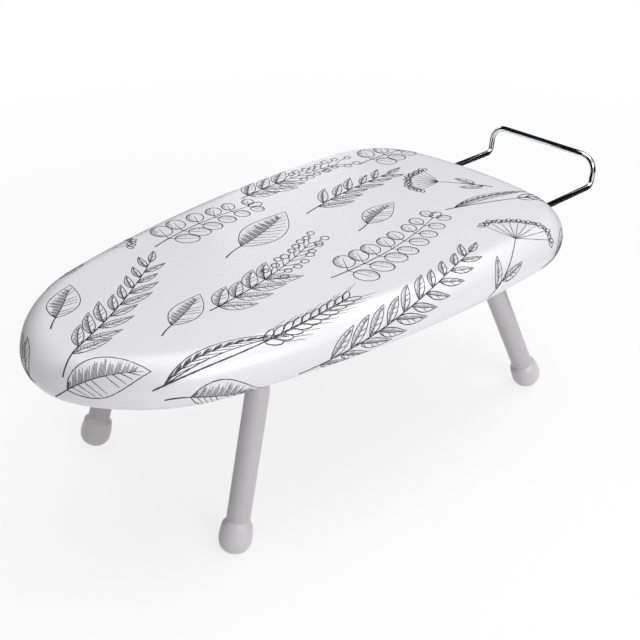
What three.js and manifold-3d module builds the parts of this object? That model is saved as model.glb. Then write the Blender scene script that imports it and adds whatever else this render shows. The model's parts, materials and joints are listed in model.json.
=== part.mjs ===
// Tabletop ironing board: a padded, covered mesh deck on two folding leg frames,
// with a bent wire rest for the iron that slides out of the tail.
// Millimetres. +X runs from the nose to the tail, +Y to the left, +Z up from the table.
// Stations are distances along X from the tip of the nose, insets are distances in from the outline.

import * as THREE from 'three';
import { mergeVertices } from 'three/addons/utils/BufferGeometryUtils.js';
import Module from 'manifold-3d';

const wasm = await Module();
wasm.setup();

// Outline of the board, seen from above
const BOARD_LENGTH = 586;
const BOARD_WIDTH = 325;
const WIDEST_FROM_TAIL = 167;
const NOSE_RADIUS = 81;
const SHOULDER_RADIUS = 166;
const SHOULDER_SWELL = 25.3;
const CORNER_RADIUS = 93;
const TAIL_RADIUS = 500;

// Rolled edge: two quarter ellipses that meet at the widest line
const BOARD_TOP = 210.5;
const EDGE_DROP = 25.5;
const EDGE_UNDERCUT = 24.4;
const ROLL_ABOVE = 26;
const ROLL_BELOW = 22.7;
const ROLL_END = THREE.MathUtils.degToRad(65);

// Layers of the deck
const COVER_THICKNESS = 1.2;
const PAD_THICKNESS = 9.7;
const DECK_THICKNESS = 1;
const RIM_INSET = 12;
const RIM_THICKNESS = 2;
const PAD_LIP = 2;
const PAD_TUCK = 4;
const ELASTIC_DIAMETER = 3;
const HEM_HEIGHT = 5.6;

// Diamond openings of the mesh deck
const MESH_PITCH_X = 60;
const MESH_PITCH_Y = 30;
const MESH_STRAND = 7;
const MESH_BORDER = 8;

// Cross rails: pressed channels under the mesh
const RAIL_HEIGHT = 10;
const RAIL_WALL = 1.6;
const RAIL_MARGIN = 3;
const REST_RAIL_WIDTH = 26;
const REST_RAIL_GAP = 8.9;

// Leg frames
const TUBE_DIAMETER = 22;
const TUBE_WALL = 1.5;
const TUBE_BEND = 34;
const FRONT_HINGE_STATION = 164;
const REAR_HINGE_FROM_TAIL = 127;
const REAR_HINGE_DROP = 15.4;
const FRONT_TILT = THREE.MathUtils.degToRad(16.7);
const REAR_TILT = THREE.MathUtils.degToRad(25.9);
const FRONT_SPLAY = THREE.MathUtils.degToRad(4.3);
const REAR_SPLAY = THREE.MathUtils.degToRad(3.5);
const FRONT_LEG_CLEARANCE = 1;
const REAR_LEG_CLEARANCE = 16.5;
const STOP_LUG_WIDTH = 30;
const STOP_LUG_THICKNESS = 4;
const STOP_LUG_ROOT = 4;

// Foot caps
const FOOT_WALL = 4.2;
const FOOT_HEIGHT = 33;
const FOOT_BASE = 9;
const FOOT_BOTTOM_RADIUS = 10;
const FOOT_SHOULDER_RADIUS = 4;
const FOOT_FLAT = 1.5;

// Hinges
const BUSH_WALL = 2;
const BUSH_WIDTH = 24;
const SADDLE_WIDTH = 22;
const SADDLE_THICKNESS = 2.5;
const SADDLE_FLANGE = 14;
const BEND_MARGIN = 2;

// Iron rest
const WIRE_DIAMETER = 6.4;
const REST_SPAN = 148.4;
const REST_REACH = 105.5;
const REST_RISE = 33.8;
const REST_LEAN = THREE.MathUtils.degToRad(5.3);
const REST_FOOT_BEND = 8;
const REST_CORNER_BEND = 18;
const REST_CLEARANCE = 6;
const SLEEVE_WALL = 2;
const SLEEVE_LENGTH = 14;
const EYELET_MARGIN = 2;
const GUIDE_DEPTH = 12;
const GUIDE_MARGIN = 1.7;
const GUIDE_ROOF = 6.6;
const GUIDE_FLOOR = 3;
const CAP_WALL = 1.6;
const CAP_DEPTH = 8;
const CAP_END = 2;

// Screws and nuts
const SCREW_DIAMETER = 4;
const SCREW_HEAD_DIAMETER = 8;
const SCREW_HEAD_HEIGHT = 2.6;
const SCREW_HEAD_FLAT = 5.6;
const SCREW_HEAD_EDGE = 1;
const SCREW_TAIL = 1;
const NUT_ACROSS_CORNERS = 8;
const NUT_HEIGHT = 3.2;

// Gap kept between pieces that touch
const GAP = 0.3;

// Facets
const TAIL_STEPS = 3;
const CORNER_STEPS = 7;
const SIDE_STEPS = 6;
const SHOULDER_STEPS = 5;
const NOSE_STEPS = 4;
const ROLL_STEPS_ABOVE = 4;
const ROLL_STEPS_BELOW = 3;
const ELASTIC_SIDES = 6;
const TUBE_SIDES = 12;
const BORE_SIDES = 8;
const WIRE_SIDES = 10;
const BEND_STEPS = 6;
const FOOT_SHOULDER_STEPS = 3;
const FOOT_BOTTOM_STEPS = 4;
const STRAP_STEPS = 5;
const HINGE_STEPS = 20;
const ROUND_STEPS = 16;
const SCREW_STEPS = 10;
const NUT_SIDES = 6;

// A cutter is this many times as long as the piece that it cuts through
const CUTTER_LENGTHS = 4;

// Points closer than this are one point when a mesh is joined or cut
const WELD_DISTANCE = 1e-4;

// Finishes
const finishes = {
  coverCloth: { color: 0xe8e7ea, roughness: 0.55, metalness: 0 },
  padFoam: { color: 0xd9d4c8, roughness: 0.95, metalness: 0 },
  elasticCord: { color: 0xf0f0f0, roughness: 0.9, metalness: 0 },
  paintedSteel: { color: 0xc9c8cb, roughness: 0.45, metalness: 0.2 },
  coatedTube: { color: 0xbebbbe, roughness: 0.4, metalness: 0 },
  footPlastic: { color: 0xbab8bb, roughness: 0.5, metalness: 0 },
  nylon: { color: 0xe4e2dc, roughness: 0.6, metalness: 0 },
  zincSteel: { color: 0xa9acb0, roughness: 0.35, metalness: 1 },
  chrome: { color: 0xd8dade, roughness: 0.06, metalness: 1 },
  blackPlastic: { color: 0x2c2c2e, roughness: 0.55, metalness: 0 },
};

// Heights, from the top down
const edgeHeight = BOARD_TOP - EDGE_DROP;
const padTop = BOARD_TOP - COVER_THICKNESS - GAP;
const deckTop = padTop - PAD_THICKNESS - GAP;
const rimTop = deckTop - DECK_THICKNESS - GAP;
const railUnderside = rimTop - RAIL_HEIGHT;
const hemBottom = edgeHeight - EDGE_UNDERCUT * Math.sin(ROLL_END);
const hemFloor = hemBottom + COVER_THICKNESS;
const padBottom = hemFloor + GAP;
const rimBottom = padBottom + PAD_TUCK + GAP;

// Insets of the layers
const padWallInset = RIM_INSET - GAP;
const rimInnerInset = RIM_INSET + RIM_THICKNESS;
const padEndInset = rollInset(ROLL_BELOW, COVER_THICKNESS + GAP, ROLL_END);
const padLipInset = Math.max(padWallInset, padEndInset) + PAD_LIP;
const elasticRadius = ELASTIC_DIAMETER / 2;
const elasticInset = padLipInset + GAP + elasticRadius;
const hemWallInset = elasticInset + elasticRadius + GAP;
const hemInset = hemWallInset + COVER_THICKNESS;

// Radii and places that several pieces share
const tubeRadius = TUBE_DIAMETER / 2;
const footRadius = tubeRadius + GAP + FOOT_WALL;
const wireRadius = WIRE_DIAMETER / 2;
const bushRadius = tubeRadius + GAP + BUSH_WALL;
const saddleBore = bushRadius + GAP;
const saddleRadius = saddleBore + SADDLE_THICKNESS;
const saddleReach = saddleRadius + SADDLE_FLANGE;
const saddleScrew = saddleRadius + SADDLE_FLANGE / 2;
const hingeRailWidth = 2 * (saddleReach + RAIL_MARGIN);
const frontPivotHeight = railUnderside - GAP - bushRadius;
const rearPivotHeight = frontPivotHeight - REAR_HINGE_DROP;
const rearHingeStation = BOARD_LENGTH - REAR_HINGE_FROM_TAIL;
const restRailStation = rearHingeStation + hingeRailWidth / 2 + REST_RAIL_GAP + REST_RAIL_WIDTH / 2;
const armSide = REST_SPAN / 2;
const wireBore = wireRadius + GAP;
const armHeight = railUnderside - GAP - GUIDE_ROOF - wireBore;
const sleeveRadius = wireBore + SLEEVE_WALL;
const capRadius = wireBore + CAP_WALL;
const screwRadius = SCREW_DIAMETER / 2;
const screwHole = screwRadius + GAP;
const guideHalfWidth = wireBore + GAP + SCREW_HEAD_DIAMETER + GUIDE_MARGIN;
const guideScrewSide = armSide - wireBore - GAP - SCREW_HEAD_DIAMETER / 2;

// Joining and cutting of closed meshes

function toSolid(geometry) {
  const bare = geometry.clone();
  bare.deleteAttribute('normal');
  bare.deleteAttribute('uv');
  const merged = mergeVertices(bare, WELD_DISTANCE);
  const index = merged.index.array;
  const triangles = [];
  for (let i = 0; i < index.length; i += 3) {
    const corners = [index[i], index[i + 1], index[i + 2]];
    if (new Set(corners).size === 3) {
      triangles.push(...corners);
    }
  }
  return new wasm.Manifold(new wasm.Mesh({
    numProp: 3,
    vertProperties: Float32Array.from(merged.attributes.position.array),
    triVerts: Uint32Array.from(triangles),
  }));
}

function toGeometry(solid) {
  const mesh = solid.getMesh();
  const geometry = new THREE.BufferGeometry();
  geometry.setAttribute('position', new THREE.BufferAttribute(mesh.vertProperties, 3));
  geometry.setIndex(new THREE.BufferAttribute(mesh.triVerts, 1));
  return geometry;
}

function cut(geometry, cutters) {
  let solid = toSolid(geometry);
  for (const cutter of cutters) {
    solid = solid.subtract(toSolid(cutter));
  }
  return toGeometry(solid);
}

function join(geometry, other) {
  return toGeometry(toSolid(geometry).add(toSolid(other)));
}

function common(geometry, other) {
  return toGeometry(toSolid(geometry).intersect(toSolid(other)));
}

function piece(name, geometry, finish) {
  const mesh = new THREE.Mesh(geometry, new THREE.MeshStandardMaterial(finish));
  mesh.name = name;
  return mesh;
}

// Plain round cutters along X and Z

function rodAlongX(radius, length) {
  return new THREE.CylinderGeometry(radius, radius, length, ROUND_STEPS).rotateZ(Math.PI / 2);
}

function rodAlongZ(radius, length) {
  return new THREE.CylinderGeometry(radius, radius, length, SCREW_STEPS).rotateX(Math.PI / 2);
}

// A round ring turned about Y
function ring(bore, radius, width) {
  const half = width / 2;
  const profile = [
    new THREE.Vector2(bore, -half),
    new THREE.Vector2(radius, -half),
    new THREE.Vector2(radius, half),
    new THREE.Vector2(bore, half),
    new THREE.Vector2(bore, -half),
  ];
  return new THREE.LatheGeometry(profile, HINGE_STEPS);
}

// Outline: nose, shoulder, side, corner and tail arcs that run into each other, mirrored across X.
// The sides are the arcs that clear a circle about the nose by the swell of the shoulder.

const halfWidth = BOARD_WIDTH / 2;
const widestStation = BOARD_LENGTH - WIDEST_FROM_TAIL;
const clearOfNose = NOSE_RADIUS + SHOULDER_SWELL;
const noseToWidest = widestStation - NOSE_RADIUS;
const sideRise = 2 * (halfWidth - clearOfNose);
const sideRadius = (noseToWidest ** 2 + halfWidth ** 2 - clearOfNose ** 2) / sideRise;
const nose = { x: NOSE_RADIUS, y: 0, radius: NOSE_RADIUS };
const tail = { x: BOARD_LENGTH - TAIL_RADIUS, y: 0, radius: TAIL_RADIUS };
const side = { x: widestStation, y: halfWidth - sideRadius, radius: sideRadius };
const corner = arcInto(tail, side, CORNER_RADIUS);
const shoulder = arcInto(nose, side, SHOULDER_RADIUS);

// The arc of a given radius that runs smoothly from an end arc into a side arc
function arcInto(first, second, radius) {
  const fromFirst = Math.abs(first.radius - radius);
  const fromSecond = Math.abs(second.radius - radius);
  const dx = second.x - first.x;
  const dy = second.y - first.y;
  const apart = Math.hypot(dx, dy);
  const along = (fromFirst ** 2 - fromSecond ** 2 + apart ** 2) / (2 * apart);
  const across = Math.sqrt(fromFirst ** 2 - along ** 2);
  return {
    x: first.x + (dx * along - dy * across) / apart,
    y: first.y + (dy * along + dx * across) / apart,
    radius,
  };
}

function heading(from, to) {
  return Math.atan2(to.y - from.y, to.x - from.x);
}

const tailTurn = heading(tail, corner);
const sideStart = heading(side, corner);
const sideEnd = heading(side, shoulder);
const noseTurn = heading(shoulder, nose);
const outlineArcs = [
  { arc: tail, from: 0, to: tailTurn, steps: TAIL_STEPS },
  { arc: corner, from: tailTurn, to: sideStart, steps: CORNER_STEPS },
  { arc: side, from: sideStart, to: sideEnd, steps: SIDE_STEPS },
  { arc: shoulder, from: sideEnd, to: noseTurn, steps: SHOULDER_STEPS },
  { arc: nose, from: noseTurn, to: Math.PI, steps: NOSE_STEPS },
];

// Points of the outline, drawn in by an inset, anticlockwise from the middle of the tail
function outline(inset) {
  const left = [];
  for (const { arc, from, to, steps } of outlineArcs) {
    for (let i = 0; i < steps; i += 1) {
      const angle = from + ((to - from) * i) / steps;
      const radius = arc.radius - inset;
      left.push(new THREE.Vector2(arc.x + radius * Math.cos(angle), arc.y + radius * Math.sin(angle)));
    }
  }
  const tip = new THREE.Vector2(inset, 0);
  const right = left.slice(1).reverse().map((point) => new THREE.Vector2(point.x, -point.y));
  return [...left, tip, ...right];
}

function halfWidthAt(station, inset) {
  for (const { arc, from, to } of outlineArcs) {
    const radius = arc.radius - inset;
    const start = arc.x + radius * Math.cos(from);
    const end = arc.x + radius * Math.cos(to);
    if (station <= start && station >= end) {
      return arc.y + Math.sqrt(radius ** 2 - (station - arc.x) ** 2);
    }
  }
  throw new RangeError(`station ${station} is off the board`);
}

// Station of the tail end of the outline, at a distance to the left or right
function tailStationAt(across, inset) {
  const offset = Math.abs(across);
  for (const { arc, from, to } of outlineArcs) {
    const radius = arc.radius - inset;
    const start = arc.y + radius * Math.sin(from);
    const end = arc.y + radius * Math.sin(to);
    if (offset >= start && offset <= end) {
      return arc.x + Math.sqrt(radius ** 2 - (offset - arc.y) ** 2);
    }
  }
  throw new RangeError(`${across} to the side is off the board`);
}

// A plate with the outline of the board
function outlinePlate(inset, bottom, height, holes = []) {
  const shape = new THREE.Shape(outline(inset));
  shape.holes = holes.map((points) => new THREE.Path(points));
  const plate = new THREE.ExtrudeGeometry(shape, { depth: height, bevelEnabled: false });
  return plate.translate(0, 0, bottom);
}

// A skin through rows of [inset, height], closed by flat ends or back onto its first row
function loft(rows, closedByEnds) {
  const points = rows.flatMap(([inset, height]) => (
    outline(inset).map((point) => new THREE.Vector3(point.x, point.y, height))
  ));
  const count = points.length / rows.length;
  const bands = closedByEnds ? rows.length - 1 : rows.length;
  const index = [];
  for (let row = 0; row < bands; row += 1) {
    const upper = row * count;
    const lower = ((row + 1) % rows.length) * count;
    for (let i = 0; i < count; i += 1) {
      const next = (i + 1) % count;
      index.push(upper + i, lower + i, lower + next);
      index.push(upper + i, lower + next, upper + next);
    }
  }
  if (closedByEnds) {
    const last = (rows.length - 1) * count;
    for (const [a, b, c] of THREE.ShapeUtils.triangulateShape(outline(rows[0][0]), [])) {
      index.push(a, b, c);
    }
    for (const [a, b, c] of THREE.ShapeUtils.triangulateShape(outline(rows.at(-1)[0]), [])) {
      index.push(last + a, last + c, last + b);
    }
  }
  const geometry = new THREE.BufferGeometry().setFromPoints(points);
  geometry.setIndex(index);
  return geometry;
}

// Rows of the rolled edge, from the top face down to the hem, at a depth below the outer skin
function rollRows(depth) {
  const rows = [];
  for (let step = ROLL_STEPS_ABOVE; step >= 0; step -= 1) {
    const angle = ((Math.PI / 2) * step) / ROLL_STEPS_ABOVE;
    rows.push([rollInset(ROLL_ABOVE, depth, angle), edgeHeight + (EDGE_DROP - depth) * Math.sin(angle)]);
  }
  for (let step = 1; step <= ROLL_STEPS_BELOW; step += 1) {
    const angle = (ROLL_END * step) / ROLL_STEPS_BELOW;
    rows.push([rollInset(ROLL_BELOW, depth, angle), edgeHeight - (EDGE_UNDERCUT - depth) * Math.sin(angle)]);
  }
  return rows;
}

// Inset of the roll, at a depth below the outer skin and an angle from the widest line
function rollInset(width, depth, angle) {
  return depth + (width - depth) * (1 - Math.cos(angle));
}

// Soft layers

function coverPiece() {
  const outside = rollRows(0);
  const inside = rollRows(COVER_THICKNESS).reverse();
  inside[0][1] = hemFloor;
  const hem = [
    [hemInset, hemBottom],
    [hemInset, hemBottom + HEM_HEIGHT],
    [hemWallInset, hemBottom + HEM_HEIGHT],
    [hemWallInset, hemFloor],
  ];
  const eyelets = restArmHoles(wireRadius + EYELET_MARGIN);
  return piece('cover', cut(loft([...outside, ...hem, ...inside], true), eyelets), finishes.coverCloth);
}

function padPiece() {
  const outside = rollRows(COVER_THICKNESS + GAP);
  outside.at(-1)[1] = padBottom;
  const inside = [
    [padLipInset, padBottom],
    [padLipInset, rimBottom - GAP],
    [padWallInset, rimBottom - GAP],
    [padWallInset, padTop - PAD_THICKNESS],
  ];
  const eyelets = restArmHoles(sleeveRadius + GAP);
  return piece('pad', cut(loft([...outside, ...inside], true), eyelets), finishes.padFoam);
}

function elasticPiece() {
  const centre = hemFloor + GAP + elasticRadius;
  const rows = [];
  for (const point of polygon(elasticRadius, ELASTIC_SIDES)) {
    rows.push([elasticInset - point.y, centre + point.x]);
  }
  return piece('hem_elastic', loft(rows, false), finishes.elasticCord);
}

// Holes for the two arms of the iron rest, through the tail
function restArmHoles(radius) {
  const length = 2 * (RIM_INSET + SLEEVE_LENGTH);
  return [armSide, -armSide].map((across) => (
    rodAlongX(radius, length).translate(tailStationAt(across, RIM_INSET), across, armHeight)
  ));
}

// Deck

function meshDeckPiece() {
  const longHalf = (MESH_PITCH_X - MESH_STRAND * 2) / 2;
  const shortHalf = (MESH_PITCH_Y - MESH_STRAND) / 2;
  const border = RIM_INSET + MESH_BORDER;
  const holes = [];
  const rowCount = Math.ceil(BOARD_WIDTH / MESH_PITCH_Y);
  for (let row = -rowCount; row <= rowCount; row += 1) {
    const across = (row * MESH_PITCH_Y) / 2;
    const shift = row % 2 === 0 ? 0 : MESH_PITCH_X / 2;
    for (let station = shift; station < BOARD_LENGTH; station += MESH_PITCH_X) {
      if (diamondFits(station, Math.abs(across), longHalf, shortHalf, border)) {
        holes.push(diamond(station, across, longHalf, shortHalf));
      }
    }
  }
  const plate = outlinePlate(RIM_INSET, deckTop - DECK_THICKNESS, DECK_THICKNESS, holes);
  return piece('mesh_deck', plate, finishes.paintedSteel);
}

function diamond(station, across, longHalf, shortHalf) {
  return [
    new THREE.Vector2(station - longHalf, across),
    new THREE.Vector2(station, across - shortHalf),
    new THREE.Vector2(station + longHalf, across),
    new THREE.Vector2(station, across + shortHalf),
  ];
}

function diamondFits(station, across, longHalf, shortHalf, border) {
  const first = station - longHalf;
  const last = station + longHalf;
  if (first <= border || last >= BOARD_LENGTH - border) {
    return false;
  }
  const ends = Math.min(halfWidthAt(first, border), halfWidthAt(last, border));
  return across < ends && across + shortHalf < halfWidthAt(station, border);
}

function rimPiece() {
  const band = outlinePlate(RIM_INSET, rimBottom, rimTop - rimBottom, [outline(rimInnerInset)]);
  return piece('rim_band', cut(band, restArmHoles(sleeveRadius + GAP)), finishes.paintedSteel);
}

// A channel across the board, open upwards, trimmed to the inside of the rim
function railPiece(name, station, width, screwPlaces) {
  const half = width / 2;
  const section = new THREE.Shape([
    new THREE.Vector2(-half, 0),
    new THREE.Vector2(half, 0),
    new THREE.Vector2(half, RAIL_HEIGHT),
    new THREE.Vector2(half - RAIL_WALL, RAIL_HEIGHT),
    new THREE.Vector2(half - RAIL_WALL, RAIL_WALL),
    new THREE.Vector2(-half + RAIL_WALL, RAIL_WALL),
    new THREE.Vector2(-half + RAIL_WALL, RAIL_HEIGHT),
    new THREE.Vector2(-half, RAIL_HEIGHT),
  ]);
  const bar = new THREE.ExtrudeGeometry(section, { depth: BOARD_WIDTH, bevelEnabled: false });
  bar.translate(0, 0, -BOARD_WIDTH / 2).rotateX(Math.PI / 2).translate(station, 0, railUnderside);
  const inside = outlinePlate(rimInnerInset + GAP, railUnderside - GAP, RAIL_HEIGHT + 2 * GAP);
  const holes = screwPlaces.map((place) => (
    rodAlongZ(screwHole, CUTTER_LENGTHS * RAIL_WALL).translate(place.x, place.y, railUnderside)
  ));
  return piece(name, cut(common(bar, inside), holes), finishes.paintedSteel);
}

// Screws and nuts

// A pan-head screw pointing up, with its head's bearing face at height 0
function screwGeometry(length) {
  const headRadius = SCREW_HEAD_DIAMETER / 2;
  const profile = [
    new THREE.Vector2(0, -SCREW_HEAD_HEIGHT),
    new THREE.Vector2(SCREW_HEAD_FLAT / 2, -SCREW_HEAD_HEIGHT),
    new THREE.Vector2(headRadius, -SCREW_HEAD_EDGE),
    new THREE.Vector2(headRadius, 0),
    new THREE.Vector2(screwRadius, 0),
    new THREE.Vector2(screwRadius, length),
    new THREE.Vector2(0, length),
  ];
  return new THREE.LatheGeometry(profile, SCREW_STEPS).rotateX(Math.PI / 2);
}

function nutGeometry() {
  const hexagon = new THREE.Shape(polygon(NUT_ACROSS_CORNERS / 2, NUT_SIDES));
  hexagon.holes.push(new THREE.Path(polygon(screwHole, SCREW_STEPS)));
  return new THREE.ExtrudeGeometry(hexagon, { depth: NUT_HEIGHT, bevelEnabled: false });
}

// A screw up through what it clamps to a rail, with its nut inside the channel
function screwAndNut(name, place, headHeight) {
  const nutHeight = railUnderside + RAIL_WALL + GAP;
  const length = nutHeight + NUT_HEIGHT + SCREW_TAIL - headHeight;
  const screw = piece(`${name}_screw`, screwGeometry(length), finishes.zincSteel);
  screw.position.set(place.x, place.y, headHeight);
  const nut = piece(`${name}_nut`, nutGeometry(), finishes.zincSteel);
  nut.position.set(place.x, place.y, nutHeight);
  return [screw, nut];
}

// Bent tube and wire

// A line through corner points, with each inner corner rounded by its own bend radius
class BentPath extends THREE.Curve {
  constructor(corners, bends) {
    super();
    this.stations = [];
    const last = corners.length - 1;
    this.addStation(corners[0], corners[1].clone().sub(corners[0]));
    for (let i = 1; i < last; i += 1) {
      this.addBend(corners[i - 1], corners[i], corners[i + 1], bends[i - 1]);
    }
    this.addStation(corners[last], corners[last].clone().sub(corners[last - 1]));
  }

  addStation(point, direction) {
    this.stations.push({ point: point.clone(), tangent: direction.clone().normalize() });
  }

  addBend(before, at, after, radius) {
    const into = at.clone().sub(before).normalize();
    const out = after.clone().sub(at).normalize();
    const turn = into.angleTo(out);
    const start = at.clone().addScaledVector(into, -radius * Math.tan(turn / 2));
    const inward = out.clone().addScaledVector(into, -into.dot(out)).normalize();
    for (let step = 0; step <= BEND_STEPS; step += 1) {
      const angle = (turn * step) / BEND_STEPS;
      const point = start.clone()
        .addScaledVector(into, radius * Math.sin(angle))
        .addScaledVector(inward, radius * (1 - Math.cos(angle)));
      const tangent = into.clone().multiplyScalar(Math.cos(angle)).addScaledVector(inward, Math.sin(angle));
      this.addStation(point, tangent);
    }
  }

  get steps() {
    return this.stations.length - 1;
  }

  getPointAt(share, target = new THREE.Vector3()) {
    return target.copy(this.stations[Math.round(share * this.steps)].point);
  }

  getTangentAt(share, target = new THREE.Vector3()) {
    return target.copy(this.stations[Math.round(share * this.steps)].tangent);
  }
}

function polygon(radius, sides) {
  const points = [];
  for (let i = 0; i < sides; i += 1) {
    const angle = (2 * Math.PI * i) / sides;
    points.push(new THREE.Vector2(radius * Math.cos(angle), radius * Math.sin(angle)));
  }
  return points;
}

function sweep(path, radius, sides, boreRadius) {
  const section = new THREE.Shape(polygon(radius, sides));
  if (boreRadius) {
    section.holes.push(new THREE.Path(polygon(boreRadius, BORE_SIDES)));
  }
  return new THREE.ExtrudeGeometry(section, { steps: path.steps, extrudePath: path });
}

// Leg frames: each stands in the plane through its hinge axis, tilted away from the middle of the board.
// lean is +1 where the frame tilts towards the nose and -1 where it tilts towards the tail.
// clearance is what the outer sides of the frame keep to the hem of the cover, on the hinge line.

function legFrame(name, { station, pivotHeight, tilt, lean, splay, clearance }) {
  const half = halfWidthAt(station, hemInset) - tubeRadius - clearance;
  const slope = Math.acos(Math.cos(splay) * Math.cos(tilt));
  const bottomFlat = footRadius - FOOT_BOTTOM_RADIUS;
  const lowest = FOOT_BOTTOM_RADIUS * (Math.cos(slope) - 1) - bottomFlat * Math.sin(slope);
  const poleHeight = -lowest - FOOT_FLAT;
  const length = (pivotHeight - poleHeight) / Math.cos(slope);
  const frame = new THREE.Group();
  frame.position.set(station, 0, pivotHeight);
  frame.rotation.y = lean * tilt;
  frame.updateMatrixWorld();
  frame.add(legTube(name, half, length, { pivotHeight, tilt, lean, splay }));
  for (const [hand, across] of [['left', 1], ['right', -1]]) {
    frame.add(footPiece(`${name}_foot_${hand}`, frame, { half, length, splay, across }));
  }
  return { group: frame, straightHalf: half - TUBE_BEND };
}

function legTube(name, half, length, { pivotHeight, tilt, lean, splay }) {
  const tubeLength = length - FOOT_BASE - GAP;
  const endAcross = half + tubeLength * Math.sin(splay);
  const endHeight = -tubeLength * Math.cos(splay);
  const path = new BentPath([
    new THREE.Vector3(0, endAcross, endHeight),
    new THREE.Vector3(0, half, 0),
    new THREE.Vector3(0, -half, 0),
    new THREE.Vector3(0, -endAcross, endHeight),
  ], [TUBE_BEND, TUBE_BEND]);
  const tube = sweep(path, tubeRadius, TUBE_SIDES, tubeRadius - TUBE_WALL);
  const lugTop = railUnderside - GAP - pivotHeight;
  const lugHeight = lugTop - STOP_LUG_ROOT;
  const lug = new THREE.BoxGeometry(STOP_LUG_THICKNESS, STOP_LUG_WIDTH, lugHeight);
  lug.translate(-lean * (tubeRadius - STOP_LUG_THICKNESS / 2), 0, lugTop - lugHeight / 2);
  lug.rotateY(-lean * tilt);
  return piece(`${name}_tube`, join(tube, lug), finishes.coatedTube);
}

// A moulded cap with a blind socket for the tube, turned about Y, with its bottom at height 0
function footProfile() {
  const socket = tubeRadius + GAP;
  const profile = [
    new THREE.Vector2(0, FOOT_BASE),
    new THREE.Vector2(socket, FOOT_BASE),
    new THREE.Vector2(socket, FOOT_HEIGHT),
  ];
  const shoulderRadius = Math.min(FOOT_SHOULDER_RADIUS, FOOT_WALL);
  for (let step = 0; step <= FOOT_SHOULDER_STEPS; step += 1) {
    const angle = (Math.PI / 2) * (1 - step / FOOT_SHOULDER_STEPS);
    const radius = footRadius + shoulderRadius * (Math.cos(angle) - 1);
    profile.push(new THREE.Vector2(radius, FOOT_HEIGHT + shoulderRadius * (Math.sin(angle) - 1)));
  }
  for (let step = 0; step <= FOOT_BOTTOM_STEPS; step += 1) {
    const angle = ((Math.PI / 2) * step) / FOOT_BOTTOM_STEPS;
    const radius = footRadius + FOOT_BOTTOM_RADIUS * (Math.cos(angle) - 1);
    profile.push(new THREE.Vector2(radius, FOOT_BOTTOM_RADIUS * (1 - Math.sin(angle))));
  }
  profile.push(new THREE.Vector2(0, 0));
  return profile.reverse();
}

function footPiece(name, frame, { half, length, splay, across }) {
  const foot = piece(name, new THREE.LatheGeometry(footProfile(), ROUND_STEPS), finishes.footPlastic);
  foot.position.set(0, across * (half + length * Math.sin(splay)), -length * Math.cos(splay));
  foot.rotation.x = Math.PI / 2 + across * splay;
  foot.updateMatrix();
  const toFoot = frame.matrix.clone().multiply(foot.matrix).invert();
  const centre = foot.position.clone().applyMatrix4(frame.matrix);
  const width = CUTTER_LENGTHS * footRadius;
  const table = new THREE.BoxGeometry(width, width, FOOT_HEIGHT);
  table.translate(centre.x, centre.y, -FOOT_HEIGHT / 2).applyMatrix4(toFoot);
  foot.geometry = cut(foot.geometry, [table]);
  return foot;
}

// Hinges: a nylon bush on the cross tube, held up against the rail by a strap saddle

function saddleGeometry(rise) {
  const strap = new THREE.Shape();
  strap.moveTo(-saddleReach, rise);
  strap.lineTo(-saddleReach, rise - SADDLE_THICKNESS);
  strap.lineTo(-saddleRadius, rise - SADDLE_THICKNESS);
  strap.lineTo(-saddleRadius, 0);
  strap.absarc(0, 0, saddleRadius, Math.PI, 2 * Math.PI, false);
  strap.lineTo(saddleRadius, rise - SADDLE_THICKNESS);
  strap.lineTo(saddleReach, rise - SADDLE_THICKNESS);
  strap.lineTo(saddleReach, rise);
  strap.lineTo(saddleBore, rise);
  strap.lineTo(saddleBore, 0);
  strap.absarc(0, 0, saddleBore, 2 * Math.PI, Math.PI, true);
  strap.lineTo(-saddleBore, rise);
  const options = { depth: SADDLE_WIDTH, bevelEnabled: false, curveSegments: STRAP_STEPS };
  const bar = new THREE.ExtrudeGeometry(strap, options);
  bar.translate(0, 0, -SADDLE_WIDTH / 2).rotateX(Math.PI / 2);
  const holes = [saddleScrew, -saddleScrew].map((along) => (
    rodAlongZ(screwHole, CUTTER_LENGTHS * SADDLE_THICKNESS).translate(along, 0, rise)
  ));
  return cut(bar, holes);
}

// A packing block that fills the saddle between the bush and the rail
function packingGeometry(rise) {
  const width = 2 * (saddleBore - GAP);
  const block = new THREE.BoxGeometry(width, SADDLE_WIDTH, rise).translate(0, 0, rise / 2);
  const seatLength = CUTTER_LENGTHS * SADDLE_WIDTH;
  const seat = new THREE.CylinderGeometry(saddleBore, saddleBore, seatLength, HINGE_STEPS);
  return cut(block, [seat]);
}

function hinge(name, station, pivotHeight, across) {
  const rise = railUnderside - GAP - pivotHeight;
  const pieces = [
    piece(`${name}_saddle`, saddleGeometry(rise), finishes.zincSteel),
    piece(`${name}_bush`, ring(tubeRadius + GAP, bushRadius, BUSH_WIDTH), finishes.nylon),
  ];
  if (pivotHeight < frontPivotHeight) {
    pieces.push(piece(`${name}_packing_block`, packingGeometry(rise), finishes.nylon));
  }
  for (const part of pieces) {
    part.position.set(station, across, pivotHeight);
  }
  return pieces;
}

function saddleScrewPlaces(station, across) {
  return [
    { end: 'fore', x: station - saddleScrew, y: across },
    { end: 'aft', x: station + saddleScrew, y: across },
  ];
}

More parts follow.
